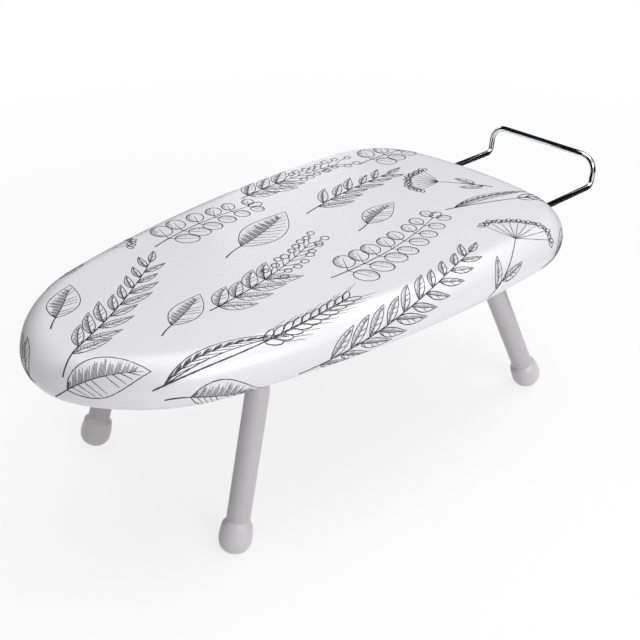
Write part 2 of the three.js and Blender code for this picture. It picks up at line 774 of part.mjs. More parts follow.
// A leg frame with its two hinges and the rail that carries them
function legAssembly(name, leg) {
  const group = new THREE.Group();
  const frame = legFrame(`${name}_leg`, leg);
  group.add(frame.group);
  const besideWire = armSide - capRadius - REST_CLEARANCE;
  const hingeAcross = Math.min(frame.straightHalf - BEND_MARGIN, besideWire) - BUSH_WIDTH / 2;
  const headHeight = railUnderside - GAP - SADDLE_THICKNESS - GAP;
  const screwPlaces = [];
  for (const [hand, across] of [['left', hingeAcross], ['right', -hingeAcross]]) {
    group.add(...hinge(`${name}_hinge_${hand}`, leg.station, leg.pivotHeight, across));
    for (const place of saddleScrewPlaces(leg.station, across)) {
      screwPlaces.push(place);
      group.add(...screwAndNut(`${name}_hinge_${hand}_${place.end}`, place, headHeight));
    }
  }
  group.add(railPiece(`${name}_rail`, leg.station, hingeRailWidth, screwPlaces));
  return group;
}

// Iron rest

const guideInnerFace = restRailStation - GUIDE_DEPTH / 2;
const armEnd = guideInnerFace - GAP - CAP_DEPTH;

function restWirePiece() {
  const foot = BOARD_LENGTH + REST_REACH;
  const top = foot + REST_RISE * Math.tan(REST_LEAN);
  const barHeight = armHeight + REST_RISE;
  const path = new BentPath([
    new THREE.Vector3(armEnd, armSide, armHeight),
    new THREE.Vector3(foot, armSide, armHeight),
    new THREE.Vector3(top, armSide, barHeight),
    new THREE.Vector3(top, -armSide, barHeight),
    new THREE.Vector3(foot, -armSide, armHeight),
    new THREE.Vector3(armEnd, -armSide, armHeight),
  ], [REST_FOOT_BEND, REST_CORNER_BEND, REST_CORNER_BEND, REST_FOOT_BEND]);
  return piece('rest_wire', sweep(path, wireRadius, WIRE_SIDES), finishes.chrome);
}

// A cup over the inner end of an arm, which stops the rest at its guide
function restCapGeometry() {
  const profile = [
    new THREE.Vector2(0, -GAP - CAP_END),
    new THREE.Vector2(capRadius, -GAP - CAP_END),
    new THREE.Vector2(capRadius, CAP_DEPTH),
    new THREE.Vector2(wireBore, CAP_DEPTH),
    new THREE.Vector2(wireBore, -GAP),
    new THREE.Vector2(0, -GAP),
  ];
  return new THREE.LatheGeometry(profile, ROUND_STEPS).rotateZ(-Math.PI / 2);
}

function guideGeometry(screwSide) {
  const top = railUnderside - GAP - armHeight;
  const bottom = -wireBore - GUIDE_FLOOR;
  const height = top - bottom;
  const block = new THREE.BoxGeometry(GUIDE_DEPTH, 2 * guideHalfWidth, height);
  block.translate(0, 0, (top + bottom) / 2);
  const bore = rodAlongX(wireBore, CUTTER_LENGTHS * GUIDE_DEPTH);
  const hole = rodAlongZ(screwHole, CUTTER_LENGTHS * height).translate(0, screwSide, 0);
  return cut(block, [bore, hole]);
}

function ironRest() {
  const group = new THREE.Group();
  const screwPlaces = [];
  const headHeight = armHeight - wireBore - GUIDE_FLOOR - GAP;
  group.add(restWirePiece());
  for (const [hand, sign] of [['left', 1], ['right', -1]]) {
    const across = sign * armSide;
    const cap = piece(`rest_cap_${hand}`, restCapGeometry(), finishes.blackPlastic);
    cap.position.set(armEnd, across, armHeight);
    const screwSide = sign * (guideScrewSide - armSide);
    const guide = piece(`rest_guide_${hand}`, guideGeometry(screwSide), finishes.nylon);
    guide.position.set(restRailStation, across, armHeight);
    const sleeve = piece(`rest_sleeve_${hand}`, ring(wireBore, sleeveRadius, SLEEVE_LENGTH), finishes.nylon);
    sleeve.rotation.z = Math.PI / 2;
    sleeve.position.set(tailStationAt(across, RIM_INSET + RIM_THICKNESS / 2), across, armHeight);
    const place = { x: restRailStation, y: sign * guideScrewSide };
    screwPlaces.push(place);
    group.add(cap, guide, sleeve, ...screwAndNut(`rest_guide_${hand}`, place, headHeight));
  }
  group.add(railPiece('rest_rail', restRailStation, REST_RAIL_WIDTH, screwPlaces));
  return group;
}

// The whole board, stood on the table with the middle of its length over the origin

const ironingBoard = new THREE.Group();
ironingBoard.add(coverPiece(), padPiece(), elasticPiece(), meshDeckPiece(), rimPiece(), ironRest());
ironingBoard.add(legAssembly('front', {
  station: FRONT_HINGE_STATION,
  pivotHeight: frontPivotHeight,
  tilt: FRONT_TILT,
  lean: 1,
  splay: FRONT_SPLAY,
  clearance: FRONT_LEG_CLEARANCE,
}));
ironingBoard.add(legAssembly('rear', {
  station: rearHingeStation,
  pivotHeight: rearPivotHeight,
  tilt: REAR_TILT,
  lean: -1,
  splay: REAR_SPLAY,
  clearance: REAR_LEG_CLEARANCE,
}));

const reach = new THREE.Box3().setFromObject(ironingBoard);
ironingBoard.position.x = -(reach.min.x + reach.max.x) / 2;

export default ironingBoard;
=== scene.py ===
"""Looks of a tabletop ironing board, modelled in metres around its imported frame.

A cloth cover with a printed sprig pattern is drawn over a felt pad and a mesh deck. Two bent tube
frames fold under the deck, and a bent wire rest for the iron slides out of the tail.
"""

import json
import math
import random
from contextlib import contextmanager

import bmesh
import bpy
from bpy.props import FloatProperty, FloatVectorProperty, IntProperty, PointerProperty
from mathutils import Matrix, Vector


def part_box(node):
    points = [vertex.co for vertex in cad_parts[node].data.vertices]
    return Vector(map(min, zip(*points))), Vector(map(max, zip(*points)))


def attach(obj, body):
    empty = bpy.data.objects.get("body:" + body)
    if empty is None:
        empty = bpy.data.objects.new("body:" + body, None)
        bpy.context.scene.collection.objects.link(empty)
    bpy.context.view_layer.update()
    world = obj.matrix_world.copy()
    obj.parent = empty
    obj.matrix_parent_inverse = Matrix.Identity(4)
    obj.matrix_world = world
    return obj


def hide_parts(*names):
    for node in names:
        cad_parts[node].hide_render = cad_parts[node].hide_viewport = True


bl_info = {
    "name": "Tabletop ironing board",
    "version": (1, 0, 0),
    "blender": (4, 5, 0),
    "location": "View3D > Sidebar > Ironing board",
    "description": "Models a tabletop ironing board around its packed frame",
    "category": "Add Mesh",
}

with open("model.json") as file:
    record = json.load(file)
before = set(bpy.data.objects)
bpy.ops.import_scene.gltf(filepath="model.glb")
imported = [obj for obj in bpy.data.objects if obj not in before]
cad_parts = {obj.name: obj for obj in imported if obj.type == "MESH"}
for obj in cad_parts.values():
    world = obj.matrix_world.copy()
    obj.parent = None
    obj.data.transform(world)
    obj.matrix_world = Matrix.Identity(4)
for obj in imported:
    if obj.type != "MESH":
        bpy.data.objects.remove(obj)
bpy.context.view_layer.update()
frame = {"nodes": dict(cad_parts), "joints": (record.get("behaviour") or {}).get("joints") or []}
cover_low, cover_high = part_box("cover")
pad_low, pad_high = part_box("pad")
deck_low, deck_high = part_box("mesh_deck")
rim_low, rim_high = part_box("rim_band")
wire_low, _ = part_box("rest_wire")
joints = {joint["name"]: joint for joint in frame["joints"]}

HANDS = {"left": 1, "right": -1}
ENDS = ("front", "rear")
WHITE = (1, 1, 1, 1)
SMOOTH_ANGLE = math.radians(38)
# Clearance between pieces that are seated on each other
GAP = 0.0003
# Points closer than this are one point
SAME_PLACE = 1e-6
# Length of the cutters along the rest's arms, which pass through the tail
ARM_DRILL = 0.06


# Sizes and colours that a user would change


def length_value(name, description, default):
    return FloatProperty(name=name, description=description, default=default, unit="LENGTH", precision=5)


def angle_value(name, description, degrees):
    radians = math.radians(degrees)
    return FloatProperty(name=name, description=description, default=radians, subtype="ANGLE")


def colour_value(name, description, default):
    return FloatVectorProperty(
        name=name, description=description, default=default, subtype="COLOR", min=0, max=1
    )


class BoardSizes(bpy.types.PropertyGroup):
    """Outline, rolled edge and layers of the board"""

    length: length_value("Length", "From the nose to the tail", cover_high.x - cover_low.x)
    width: length_value("Width", "Across the widest line", 0.325)
    widest: length_value("Widest line", "Distance of the widest line from the tail", 0.167)
    nose: length_value("Nose radius", "Radius of the tip of the nose", 0.081)
    shoulder: length_value("Shoulder radius", "Radius between the nose and the sides", 0.166)
    swell: length_value("Shoulder swell", "How far the sides clear the nose", 0.0253)
    corner: length_value("Corner radius", "Radius of the tail corners", 0.093)
    tail: length_value("Tail radius", "Radius of the tail end", 0.5)
    edge_drop: length_value("Edge drop", "Height of the roll above its widest line", 0.0255)
    undercut: length_value("Undercut", "Height of the roll's lower quarter ellipse", 0.0244)
    roll_above: length_value("Roll above", "Width of the roll above its widest line", 0.026)
    roll_below: length_value("Roll below", "Width of the roll below its widest line", 0.0227)
    roll_end: angle_value("Roll end", "Where the lower roll runs into the hem", 65)
    cloth: length_value("Cloth", "Thickness of the cover with its backing", 0.0012)
    pad: length_value("Pad", "Thickness of the felt pad on the deck", 0.0097)
    rim_inset: length_value("Rim inset", "Outside of the rim, in from the outline", 0.012)
    rim: length_value("Rim", "Thickness of the rim band", 0.002)
    hem_inset: length_value("Hem inset", "Inner face of the hem, in from the outline", 0.0205)
    hem_height: length_value("Hem height", "Height of the hem's inner wall", 0.0056)
    gather: length_value("Gathers", "Depth of the gathers at the hem", 0.0016)
    mesh_strand: length_value("Mesh strand", "Width of a strand of the mesh deck", 0.0026)
    mesh_long: length_value("Mesh length", "Long diagonal of a diamond of the mesh", 0.03)
    mesh_short: length_value("Mesh width", "Short diagonal of a diamond of the mesh", 0.015)
    rail_wall: length_value("Rail wall", "Sheet thickness of the cross rails", 0.0016)


class LegSizes(bpy.types.PropertyGroup):
    """Leg frames and their feet"""

    tube: length_value("Tube", "Outer diameter of the leg tube", 0.022)
    bend: length_value("Bend", "Radius of the bends on the centreline", 0.034)
    front_half: length_value("Front half width", "Half the front cross tube", 0.1007)
    rear_half: length_value("Rear half width", "Half the rear cross tube", 0.1138)
    front_tilt: angle_value("Front tilt", "Lean of the front frame towards the nose", 16.7)
    rear_tilt: angle_value("Rear tilt", "Lean of the rear frame towards the tail", 25.9)
    front_splay: angle_value("Front splay", "Spread of each front leg", 4.3)
    rear_splay: angle_value("Rear splay", "Spread of each rear leg", 3.5)
    foot: length_value("Foot", "Diameter of a foot", 0.031)
    foot_height: length_value("Foot height", "Height of a foot", 0.0312)
    foot_base: length_value("Foot base", "Material under the end of the tube", 0.009)
    foot_bottom: length_value("Foot bottom", "How far the bottom edge of a foot curves in", 0.0098)
    foot_waist: length_value("Foot waist", "Height of the widest ring of a foot", 0.0134)
    foot_shoulder: length_value("Foot shoulder", "Height of the edge under a foot's collar", 0.0263)
    foot_collar: length_value("Foot collar", "Radius of that edge", 0.0142)
    front_sole: length_value("Front sole", "Height of the lower end of a front leg's axis", 0.00058)
    rear_sole: length_value("Rear sole", "Height of the lower end of a rear leg's axis", 0.00194)


class HingeSizes(bpy.types.PropertyGroup):
    """Saddles, bushes and screws"""

    bush: length_value("Bush radius", "Outside of the nylon bush", 0.0133)
    bush_width: length_value("Bush width", "Length of the nylon bush", 0.024)
    strap: length_value("Strap", "Sheet thickness of the saddle", 0.0025)
    strap_width: length_value("Strap width", "Width of the saddle", 0.022)
    flange: length_value("Flange", "Length of each flange of the saddle", 0.014)
    screw: length_value("Screw", "Diameter of the screws", 0.004)
    screw_head: length_value("Screw head", "Diameter of the screw heads", 0.008)
    screw_head_height: length_value("Head height", "Height of the screw heads", 0.0026)


class RestSizes(bpy.types.PropertyGroup):
    """Wire rest for the iron"""

    wire: length_value("Wire", "Diameter of the wire", 0.0064)
    span: length_value("Span", "Between the centrelines of the arms", 0.1484)
    reach: length_value("Reach", "How far the arms stand out of the tail", 0.1055)
    rise: length_value("Rise", "Height of the top bar over the arms", 0.0338)
    lean: angle_value("Lean", "Backward lean of the uprights", 5.3)
    foot_bend: length_value("Foot bend", "Radius where the arms turn up", 0.008)
    corner_bend: length_value("Corner bend", "Radius at the ends of the top bar", 0.018)
    eyelet: length_value("Eyelet", "Radius of the holes in the cover", 0.0052)


class BoardColours(bpy.types.PropertyGroup):
    """Colours of the finishes"""

    cover: colour_value("Cover", "Ground of the cover cloth", (0.8, 0.79, 0.815))
    ink: colour_value("Ink", "Ink of the print", (0.042, 0.042, 0.047))
    felt: colour_value("Felt", "Felt of the pad", (0.66, 0.63, 0.56))
    elastic: colour_value("Elastic", "Elastic cord in the hem", (0.8, 0.8, 0.8))
    deck: colour_value("Deck paint", "Powder coat of the deck", (0.5, 0.49, 0.5))
    tube: colour_value("Tube paint", "Powder coat of the legs", (0.53, 0.515, 0.53))
    foot: colour_value("Foot", "Moulded feet", (0.64, 0.625, 0.64))
    nylon: colour_value("Nylon", "Bushes, guides and sleeves", (0.7, 0.68, 0.63))
    zinc: colour_value("Zinc", "Saddles, screws and nuts", (0.6, 0.61, 0.62))
    chrome: colour_value("Chrome", "Plating of the wire rest", (0.74, 0.75, 0.77))
    cap: colour_value("Cap", "Caps on the arms", (0.02, 0.02, 0.022))
    floor: colour_value("Floor", "Floor of the stage", (0.92, 0.92, 0.92))


class StageSettings(bpy.types.PropertyGroup):
    """Camera, and the seed of the print"""

    azimuth: angle_value("Azimuth", "Turn of the camera about the board", -43.35)
    elevation: angle_value("Elevation", "Height of the camera over the horizon", 29.93)
    distance: length_value("Distance", "From the camera to what it looks at", 1.1688)
    view: angle_value("Field of view", "Width of the view", 32.18)
    seed: IntProperty(name="Seed", description="Seed of the hand-drawn variation", default=11)


class IroningBoard(bpy.types.PropertyGroup):
    """All the settings of the board"""

    board: PointerProperty(type=BoardSizes)
    legs: PointerProperty(type=LegSizes)
    hinges: PointerProperty(type=HingeSizes)
    rest: PointerProperty(type=RestSizes)
    colours: PointerProperty(type=BoardColours)
    stage: PointerProperty(type=StageSettings)


def settings():
    return bpy.context.scene.ironing_board


# Modelling by hand, in code


def unit(angle):
    return Vector((math.cos(angle), math.sin(angle)))


def facing(direction):
    """The turn that lays Z along a direction."""
    return Vector(direction).to_track_quat("Z", "Y").to_matrix().to_4x4()


def activate(piece):
    bpy.ops.object.select_all(action="DESELECT")
    piece.select_set(True)
    bpy.context.view_layer.objects.active = piece


@contextmanager
def editing(piece):
    """Edit mode on one piece, with everything in it selected."""
    activate(piece)
    bpy.ops.object.mode_set(mode="EDIT")
    bpy.ops.mesh.select_all(action="SELECT")
    yield bmesh.from_edit_mesh(piece.data)
    bpy.ops.object.mode_set(mode="OBJECT")


def named(piece, name):
    piece.name = name
    piece.data.name = name
    return piece


def add_primitive(name, add, **options):
    """A named primitive, with its place in its mesh."""
    bpy.ops.object.select_all(action="DESELECT")
    add(**options)
    bpy.ops.object.transform_apply(location=True, rotation=True, scale=True)
    return named(bpy.context.object, name)


def apply_modifier(piece, kind, **options):
    activate(piece)
    modifier = piece.modifiers.new(kind.title(), kind)
    for name, value in options.items():
        setattr(modifier, name, value)
    bpy.ops.object.modifier_apply(modifier=modifier.name)


def thicken(sheet, thickness):
    """Gives a sheet its thickness, inwards from its face."""
    apply_modifier(sheet, "SOLIDIFY", thickness=thickness, offset=-1, use_even_offset=True)


def soften(piece, width, segments, **options):
    """Bevels the sharp edges of a piece."""
    apply_modifier(piece, "BEVEL", width=width, segments=segments, limit_method="ANGLE", **options)


def cut_out(piece, cutters):
    """Cuts other pieces out of one, and deletes them."""
    for cutter in cutters:
        apply_modifier(piece, "BOOLEAN", object=cutter, operation="DIFFERENCE", solver="EXACT")
        bpy.data.objects.remove(cutter)


def drill(radius, length, centre, turn, sides=40):
    """A round cutter, turned from Z into its place."""
    cylinder = bpy.ops.mesh.primitive_cylinder_add
    return add_primitive(
        "drill", cylinder, vertices=sides, radius=radius, depth=length, location=centre, rotation=turn
    )


def move_into_place(piece, matrix):
    activate(piece)
    piece.matrix_world = matrix
    bpy.ops.object.transform_apply(location=True, rotation=True, scale=True)


def copy_of(piece, name, matrix):
    """A copy with its own mesh, moved by a matrix."""
    activate(piece)
    bpy.ops.object.duplicate(linked=False)
    copy = named(bpy.context.object, name)
    move_into_place(copy, matrix)
    return copy


def joined(name, pieces):
    """One piece made of several."""
    activate(pieces[0])
    for piece in pieces:
        piece.select_set(True)
    bpy.ops.object.join()
    return named(bpy.context.object, name)


def extrude(step):
    bpy.ops.mesh.extrude_region_move(TRANSFORM_OT_translate={"value": step})


def extrude_edges(step):
    bpy.ops.mesh.extrude_edges_move(TRANSFORM_OT_translate={"value": step})


def tidy_surface():
    """Merges doubles and turns all faces outwards, in edit mode."""
    bpy.ops.mesh.select_all(action="SELECT")
    bpy.ops.mesh.remove_doubles(threshold=SAME_PLACE)
    bpy.ops.mesh.normals_make_consistent(inside=False)


def face_down(sheet):
    """Tidies an open sheet and turns it so that its lowest face looks down, in edit mode."""
    tidy_surface()
    mesh = bmesh.from_edit_mesh(sheet.data)
    lowest = min(mesh.faces, key=lambda face: face.calc_center_median().z)
    if lowest.normal.z > 0:
        bpy.ops.mesh.flip_normals()


def paint(piece, material):
    piece.data.materials.clear()
    piece.data.materials.append(material)


def dress(piece, body, slot, material, *nodes):
    """Smooth shading, finish and place in the frame for a finished piece."""
    activate(piece)
    bpy.ops.object.shade_smooth_by_angle(angle=SMOOTH_ANGLE)
    paint(piece, material)
    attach(piece, body)
    if nodes:
        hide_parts(*nodes)


def bent_rod(name, corners, bends, radius, sides, bend_steps):
    """A round rod through corner points, made by extruding and spinning a circle."""
    rod = add_primitive(
        name,
        bpy.ops.mesh.primitive_circle_add,
        vertices=sides,
        radius=radius,
        location=corners[0],
        rotation=facing(corners[1] - corners[0]).to_euler(),
    )
    with editing(rod):
        reached = corners[0]
        for before, at, after, bend in zip(corners, corners[1:], corners[2:], bends):
            into = (at - before).normalized()
            out = (after - at).normalized()
            turn = into.angle(out)
            tangent = bend * math.tan(turn / 2)
            axis = into.cross(out).normalized()
            start = at - into * tangent
            extrude(start - reached)
            centre = start + axis.cross(into) * bend
            bpy.ops.mesh.spin(steps=bend_steps, angle=-turn, center=centre, axis=axis)
            reached = at + out * tangent
        extrude(corners[-1] - reached)
        bpy.ops.mesh.select_all(action="SELECT")
        bpy.ops.mesh.fill_holes(sides=0)
        tidy_surface()
    return rod


def turned(name, profile, steps):
    """A piece turned about Z from a profile of (radius, height) points."""
    piece = add_primitive(name, bpy.ops.mesh.primitive_plane_add, size=0.01)
    with editing(piece) as mesh:
        bpy.ops.mesh.merge(type="CENTER")
        mesh.verts.ensure_lookup_table()
        mesh.verts[0].co = (profile[0][0], 0, profile[0][1])
        for (radius, height), (next_radius, next_height) in zip(profile, profile[1:]):
            extrude((next_radius - radius, 0, next_height - height))
        bpy.ops.mesh.select_all(action="SELECT")
        bpy.ops.mesh.spin(steps=steps, angle=2 * math.pi, center=(0, 0, 0), axis=(0, 0, 1))
        tidy_surface()
    return piece


def eased_tube(name, bore, radius, low, high, ease, steps):
    """A tube turned about Z, with its four edges eased."""
    profile = [
        (bore, low + ease),
        (bore + ease, low),
        (radius - ease, low),
        (radius, low + ease),
        (radius, high - ease),
        (radius - ease, high),
        (bore + ease, high),
        (bore, high - ease),
        (bore, low + ease),
    ]
    return turned(name, profile, steps)


def arc_points(centre, radius, start, end, steps):
    """Points of an arc in a profile, from one angle to another in degrees."""
    points = []
    for step in range(steps + 1):
        angle = math.radians(start + (end - start) * step / steps)
        points.append((centre[0] + radius * math.cos(angle), centre[1] + radius * math.sin(angle)))
    return points


def rounded_section(first, last, bottom, top, radius):
    """A closed row of (inset, height) points round a rectangle with rounded corners."""
    corners = [
        (first + radius, bottom + radius, 180),
        (last - radius, bottom + radius, 270),
        (last - radius, top - radius, 0),
        (first + radius, top - radius, 90),
    ]
    points = []
    for inset, height, start in corners:
        points += arc_points((inset, height), radius, start, start + 90, steps=3)
    return [*points, points[0]]


def bevelled_box(name, low, high, bevel):
    cube = bpy.ops.mesh.primitive_cube_add
    box = add_primitive(name, cube, size=1, location=(low + high) / 2, scale=high - low)
    with editing(box):
        bpy.ops.mesh.bevel(offset=bevel, segments=3, affect="EDGES")
    return box


# Outline and roll of the board


class Arc:
    """A stretch of the outline, with its centre, radius and the angles that it runs between."""

    def __init__(self, x, y, radius):
        self.centre = Vector((x, y))
        self.radius = radius
        self.start = 0.0
        self.end = 0.0

    def heading_to(self, other):
        away = other.centre - self.centre
        return math.atan2(away.y, away.x)

    def between(self, other, radius):
        """The arc of a given radius that runs smoothly from this one into another."""
        from_self = abs(self.radius - radius)
        from_other = abs(other.radius - radius)
        away = other.centre - self.centre
        along = (from_self**2 - from_other**2 + away.length_squared) / (2 * away.length)
        across = math.sqrt(from_self**2 - along**2)
        side = Vector((-away.y, away.x))
        centre = self.centre + (away * along + side * across) / away.length
        return Arc(centre.x, centre.y, radius)


class BoardForm:
    """Where the cloth of the board lies: the outline from above and the section of the roll."""

    SPACING = 0.0052
    ABOVE_STEPS = 16
    BELOW_STEPS = 10
    # How far under the top a point still counts as on the flat
    LEVEL = 1e-5

    def __init__(self):
        self.sizes = settings().board
        self.top = cover_high.z
        self.edge = self.top - self.sizes.edge_drop
        self.arcs = self.outline_arcs()
        self.roll = self.roll_section()

    def outline_arcs(self):
        sizes = self.sizes
        half = sizes.width / 2
        clear = sizes.nose + sizes.swell
        run = sizes.length - sizes.widest - sizes.nose
        side_radius = (run**2 + half**2 - clear**2) / (2 * (half - clear))
        nose = Arc(cover_low.x + sizes.nose, 0, sizes.nose)
        tail = Arc(cover_high.x - sizes.tail, 0, sizes.tail)
        side = Arc(cover_high.x - sizes.widest, half - side_radius, side_radius)
        corner = tail.between(side, sizes.corner)
        shoulder = nose.between(side, sizes.shoulder)
        arcs = [tail, corner, side, shoulder, nose]
        turns = [
            0.0,
            tail.heading_to(corner),
            side.heading_to(corner),
            side.heading_to(shoulder),
            shoulder.heading_to(nose),
            math.pi,
        ]
        for arc, start, end in zip(arcs, turns, turns[1:]):
            arc.start = start
            arc.end = end
        return arcs

    def outline(self, inset):
        """Points of the outline drawn in by an inset, anticlockwise from the middle of the tail."""
        left = []
        for arc in self.arcs:
            steps = max(2, round(arc.radius * (arc.end - arc.start) / self.SPACING))
            for step in range(steps):
                angle = arc.start + (arc.end - arc.start) * step / steps
                left.append(arc.centre + (arc.radius - inset) * unit(angle))
        tip = Vector((cover_low.x + inset, 0))
        right = [Vector((point.x, -point.y)) for point in reversed(left[1:])]
        return [*left, tip, *right]

    def ring(self, inset, height):
        return [Vector((point.x, point.y, height)) for point in self.outline(inset)]

    def half_width(self, x, inset):
        for arc in self.arcs:
            reach = arc.radius - inset
            low = arc.centre.x + reach * math.cos(arc.end)
            high = arc.centre.x + reach * math.cos(arc.start)
            if low <= x <= high:
                return arc.centre.y + math.sqrt(reach**2 - (x - arc.centre.x) ** 2)
        return 0.0

    def tail_x(self, side, inset):
        """Where the tail end of the outline is, at a distance to one side."""
        tail = self.arcs[0]
        return tail.centre.x + math.sqrt((tail.radius - inset) ** 2 - side**2)

    def quarter(self, angle):
        """Width and height of the quarter ellipse that an angle of the roll is in."""
        sizes = self.sizes
        if angle >= 0:
            return sizes.roll_above, sizes.edge_drop
        return sizes.roll_below, sizes.undercut

    def roll_point(self, angle, depth):
        """(inset, height) of the roll at an angle from its widest line, at a depth under the skin."""
        width, rise = self.quarter(angle)
        inset = depth + (width - depth) * (1 - math.cos(angle))
        return inset, self.edge + (rise - depth) * math.sin(angle)

    def roll_normal(self, angle):
        """(outward, upward) parts of the skin's normal at an angle of the roll."""
        width, rise = self.quarter(angle)
        return Vector((math.cos(angle) / width, math.sin(angle) / rise)).normalized()

    def roll_angles(self):
        above = [math.pi / 2 * step / self.ABOVE_STEPS for step in range(self.ABOVE_STEPS, 0, -1)]
        below = [-self.sizes.roll_end * step / self.BELOW_STEPS for step in range(self.BELOW_STEPS + 1)]
        return above + below

    def roll_section(self):
        """Rows of (length of cloth from the flat top, angle, inset, height) down the roll."""
        rows = []
        length = 0.0
        for angle in self.roll_angles():
            inset, height = self.roll_point(angle, 0)
            if rows:
                length += math.hypot(inset - rows[-1][2], height - rows[-1][3])
            rows.append((length, angle, inset, height))
        return rows

    def roll_angle(self, length):
        """Angle of the roll at a length of cloth from the flat top."""
        for near, far in zip(self.roll, self.roll[1:]):
            if length <= far[0]:
                share = (length - near[0]) / (far[0] - near[0])
                return near[1] + (far[1] - near[1]) * share
        return self.roll[-1][1]

    def drape(self, point, lift):
        """Where a point of the flat cloth comes to lie, lifted off the skin."""
        mirror = -1 if point.y < 0 else 1
        flat = Vector((point.x, abs(point.y)))
        for arc in self.arcs:
            away = flat - arc.centre
            turn = math.atan2(away.y, away.x)
            beyond = away.length - (arc.radius - self.sizes.roll_above)
            if arc.start <= turn <= arc.end and beyond > 0:
                angle = self.roll_angle(beyond)
                inset, height = self.roll_point(angle, 0)
                outward, upward = self.roll_normal(angle)
                place = arc.centre + unit(turn) * (arc.radius - inset + lift * outward)
                return Vector((place.x, place.y * mirror, height + lift * upward))
        return Vector((point.x, point.y, self.top + lift))

    def undrape(self, point):
        """The place on the flat cloth of a point of the skin."""
        if point.z >= self.top - self.LEVEL:
            return point.to_2d()
        mirror = -1 if point.y < 0 else 1
        for arc in self.arcs:
            away = Vector((point.x, point.y * mirror)) - arc.centre
            turn = math.atan2(away.y, away.x)
            if arc.start - SAME_PLACE <= turn <= arc.end + SAME_PLACE:
                inset = arc.radius - away.length
                nearest = min(self.roll, key=lambda row: abs(row[2] - inset) + abs(row[3] - point.z))
                flat = arc.centre + unit(turn) * (arc.radius - self.sizes.roll_above + nearest[0])
                return Vector((flat.x, flat.y * mirror))
        return point.to_2d()


def key(point):
    """A point rounded to a hundredth of a millimetre, to find it again."""
    return tuple(round(value, 5) for value in point)


def lofted(name, rows, fill_first=True, fill_last=True):
    """A skin through rows of points: a circle shaped to the first row, extruded to each next one."""
    filling = "NGON" if fill_first else "NOTHING"
    circle = bpy.ops.mesh.primitive_circle_add
    skin = add_primitive(name, circle, vertices=len(rows[0]), radius=1, fill_type=filling)
    with editing(skin) as mesh:
        row = rows[0]
        for vertex, point in zip(mesh.verts, row):
            vertex.co = point
        if fill_first:
            bpy.ops.mesh.region_to_loop()
        for next_row in rows[1:]:
            bpy.ops.mesh.extrude_edges_move()
            places = {key(point): i for i, point in enumerate(row)}
            mesh = bmesh.from_edit_mesh(skin.data)
            for vertex in mesh.verts:
                if vertex.select:
                    vertex.co = next_row[places[key(vertex.co)]]
            row = next_row
        if fill_last:
            bpy.ops.mesh.edge_face_add()
        tidy_surface()
    return skin


def hoop(name, form, section):
    """A closed ring along the outline, through a closed section of (inset, height) points."""
    return lofted(name, [form.ring(*point) for point in section], fill_first=False, fill_last=False)


# Finishes


class Value:
    """A socket in a material, so that a sum on it adds Math nodes."""

    def __init__(self, finish, socket):
        self.finish = finish
        self.socket = socket

    def math(self, operation, *values):
        return self.finish.node("ShaderNodeMath", {"operation": operation}, dict(enumerate(values)))

    def __add__(self, other):
        return self.math("ADD", self, other)

    def __radd__(self, other):
        return self.math("ADD", other, self)

    def __sub__(self, other):
        return self.math("SUBTRACT", self, other)

    def __rsub__(self, other):
        return self.math("SUBTRACT", other, self)

    def __mul__(self, other):
        return self.math("MULTIPLY", self, other)

    def __rmul__(self, other):
        return self.math("MULTIPLY", other, self)

    def waves(self, pitch):
        turned_by = self * (2 * math.pi / pitch)
        return self.math("SINE", turned_by)


class Wiring:
    """The nodes of a material or of the world."""

    def __init__(self, tree):
        self.tree = tree

    def node(self, kind, options=None, inputs=None, output=0):
        node = self.tree.nodes.new(kind)
        for name, value in (options or {}).items():
            setattr(node, name, value)
        for socket, value in (inputs or {}).items():
            self.feed(node.inputs[socket], value)
        return Value(self, node.outputs[output])

    def feed(self, socket, value):
        if isinstance(value, Value):
            self.tree.links.new(value.socket, socket)
        else:
            socket.default_value = value

    def seen_directly(self):
        """1 for rays that see the background: from the camera, in a mirror or through glass."""
        seen = self.node("ShaderNodeLightPath", output="Is Camera Ray")
        for name in ("Is Glossy Ray", "Is Transmission Ray"):
            seen = seen.math("MAXIMUM", seen, self.node("ShaderNodeLightPath", output=name))
        return seen

    def mixed_shaders(self, share, first, second):
        return self.node("ShaderNodeMixShader", inputs={0: share, 1: first, 2: second})


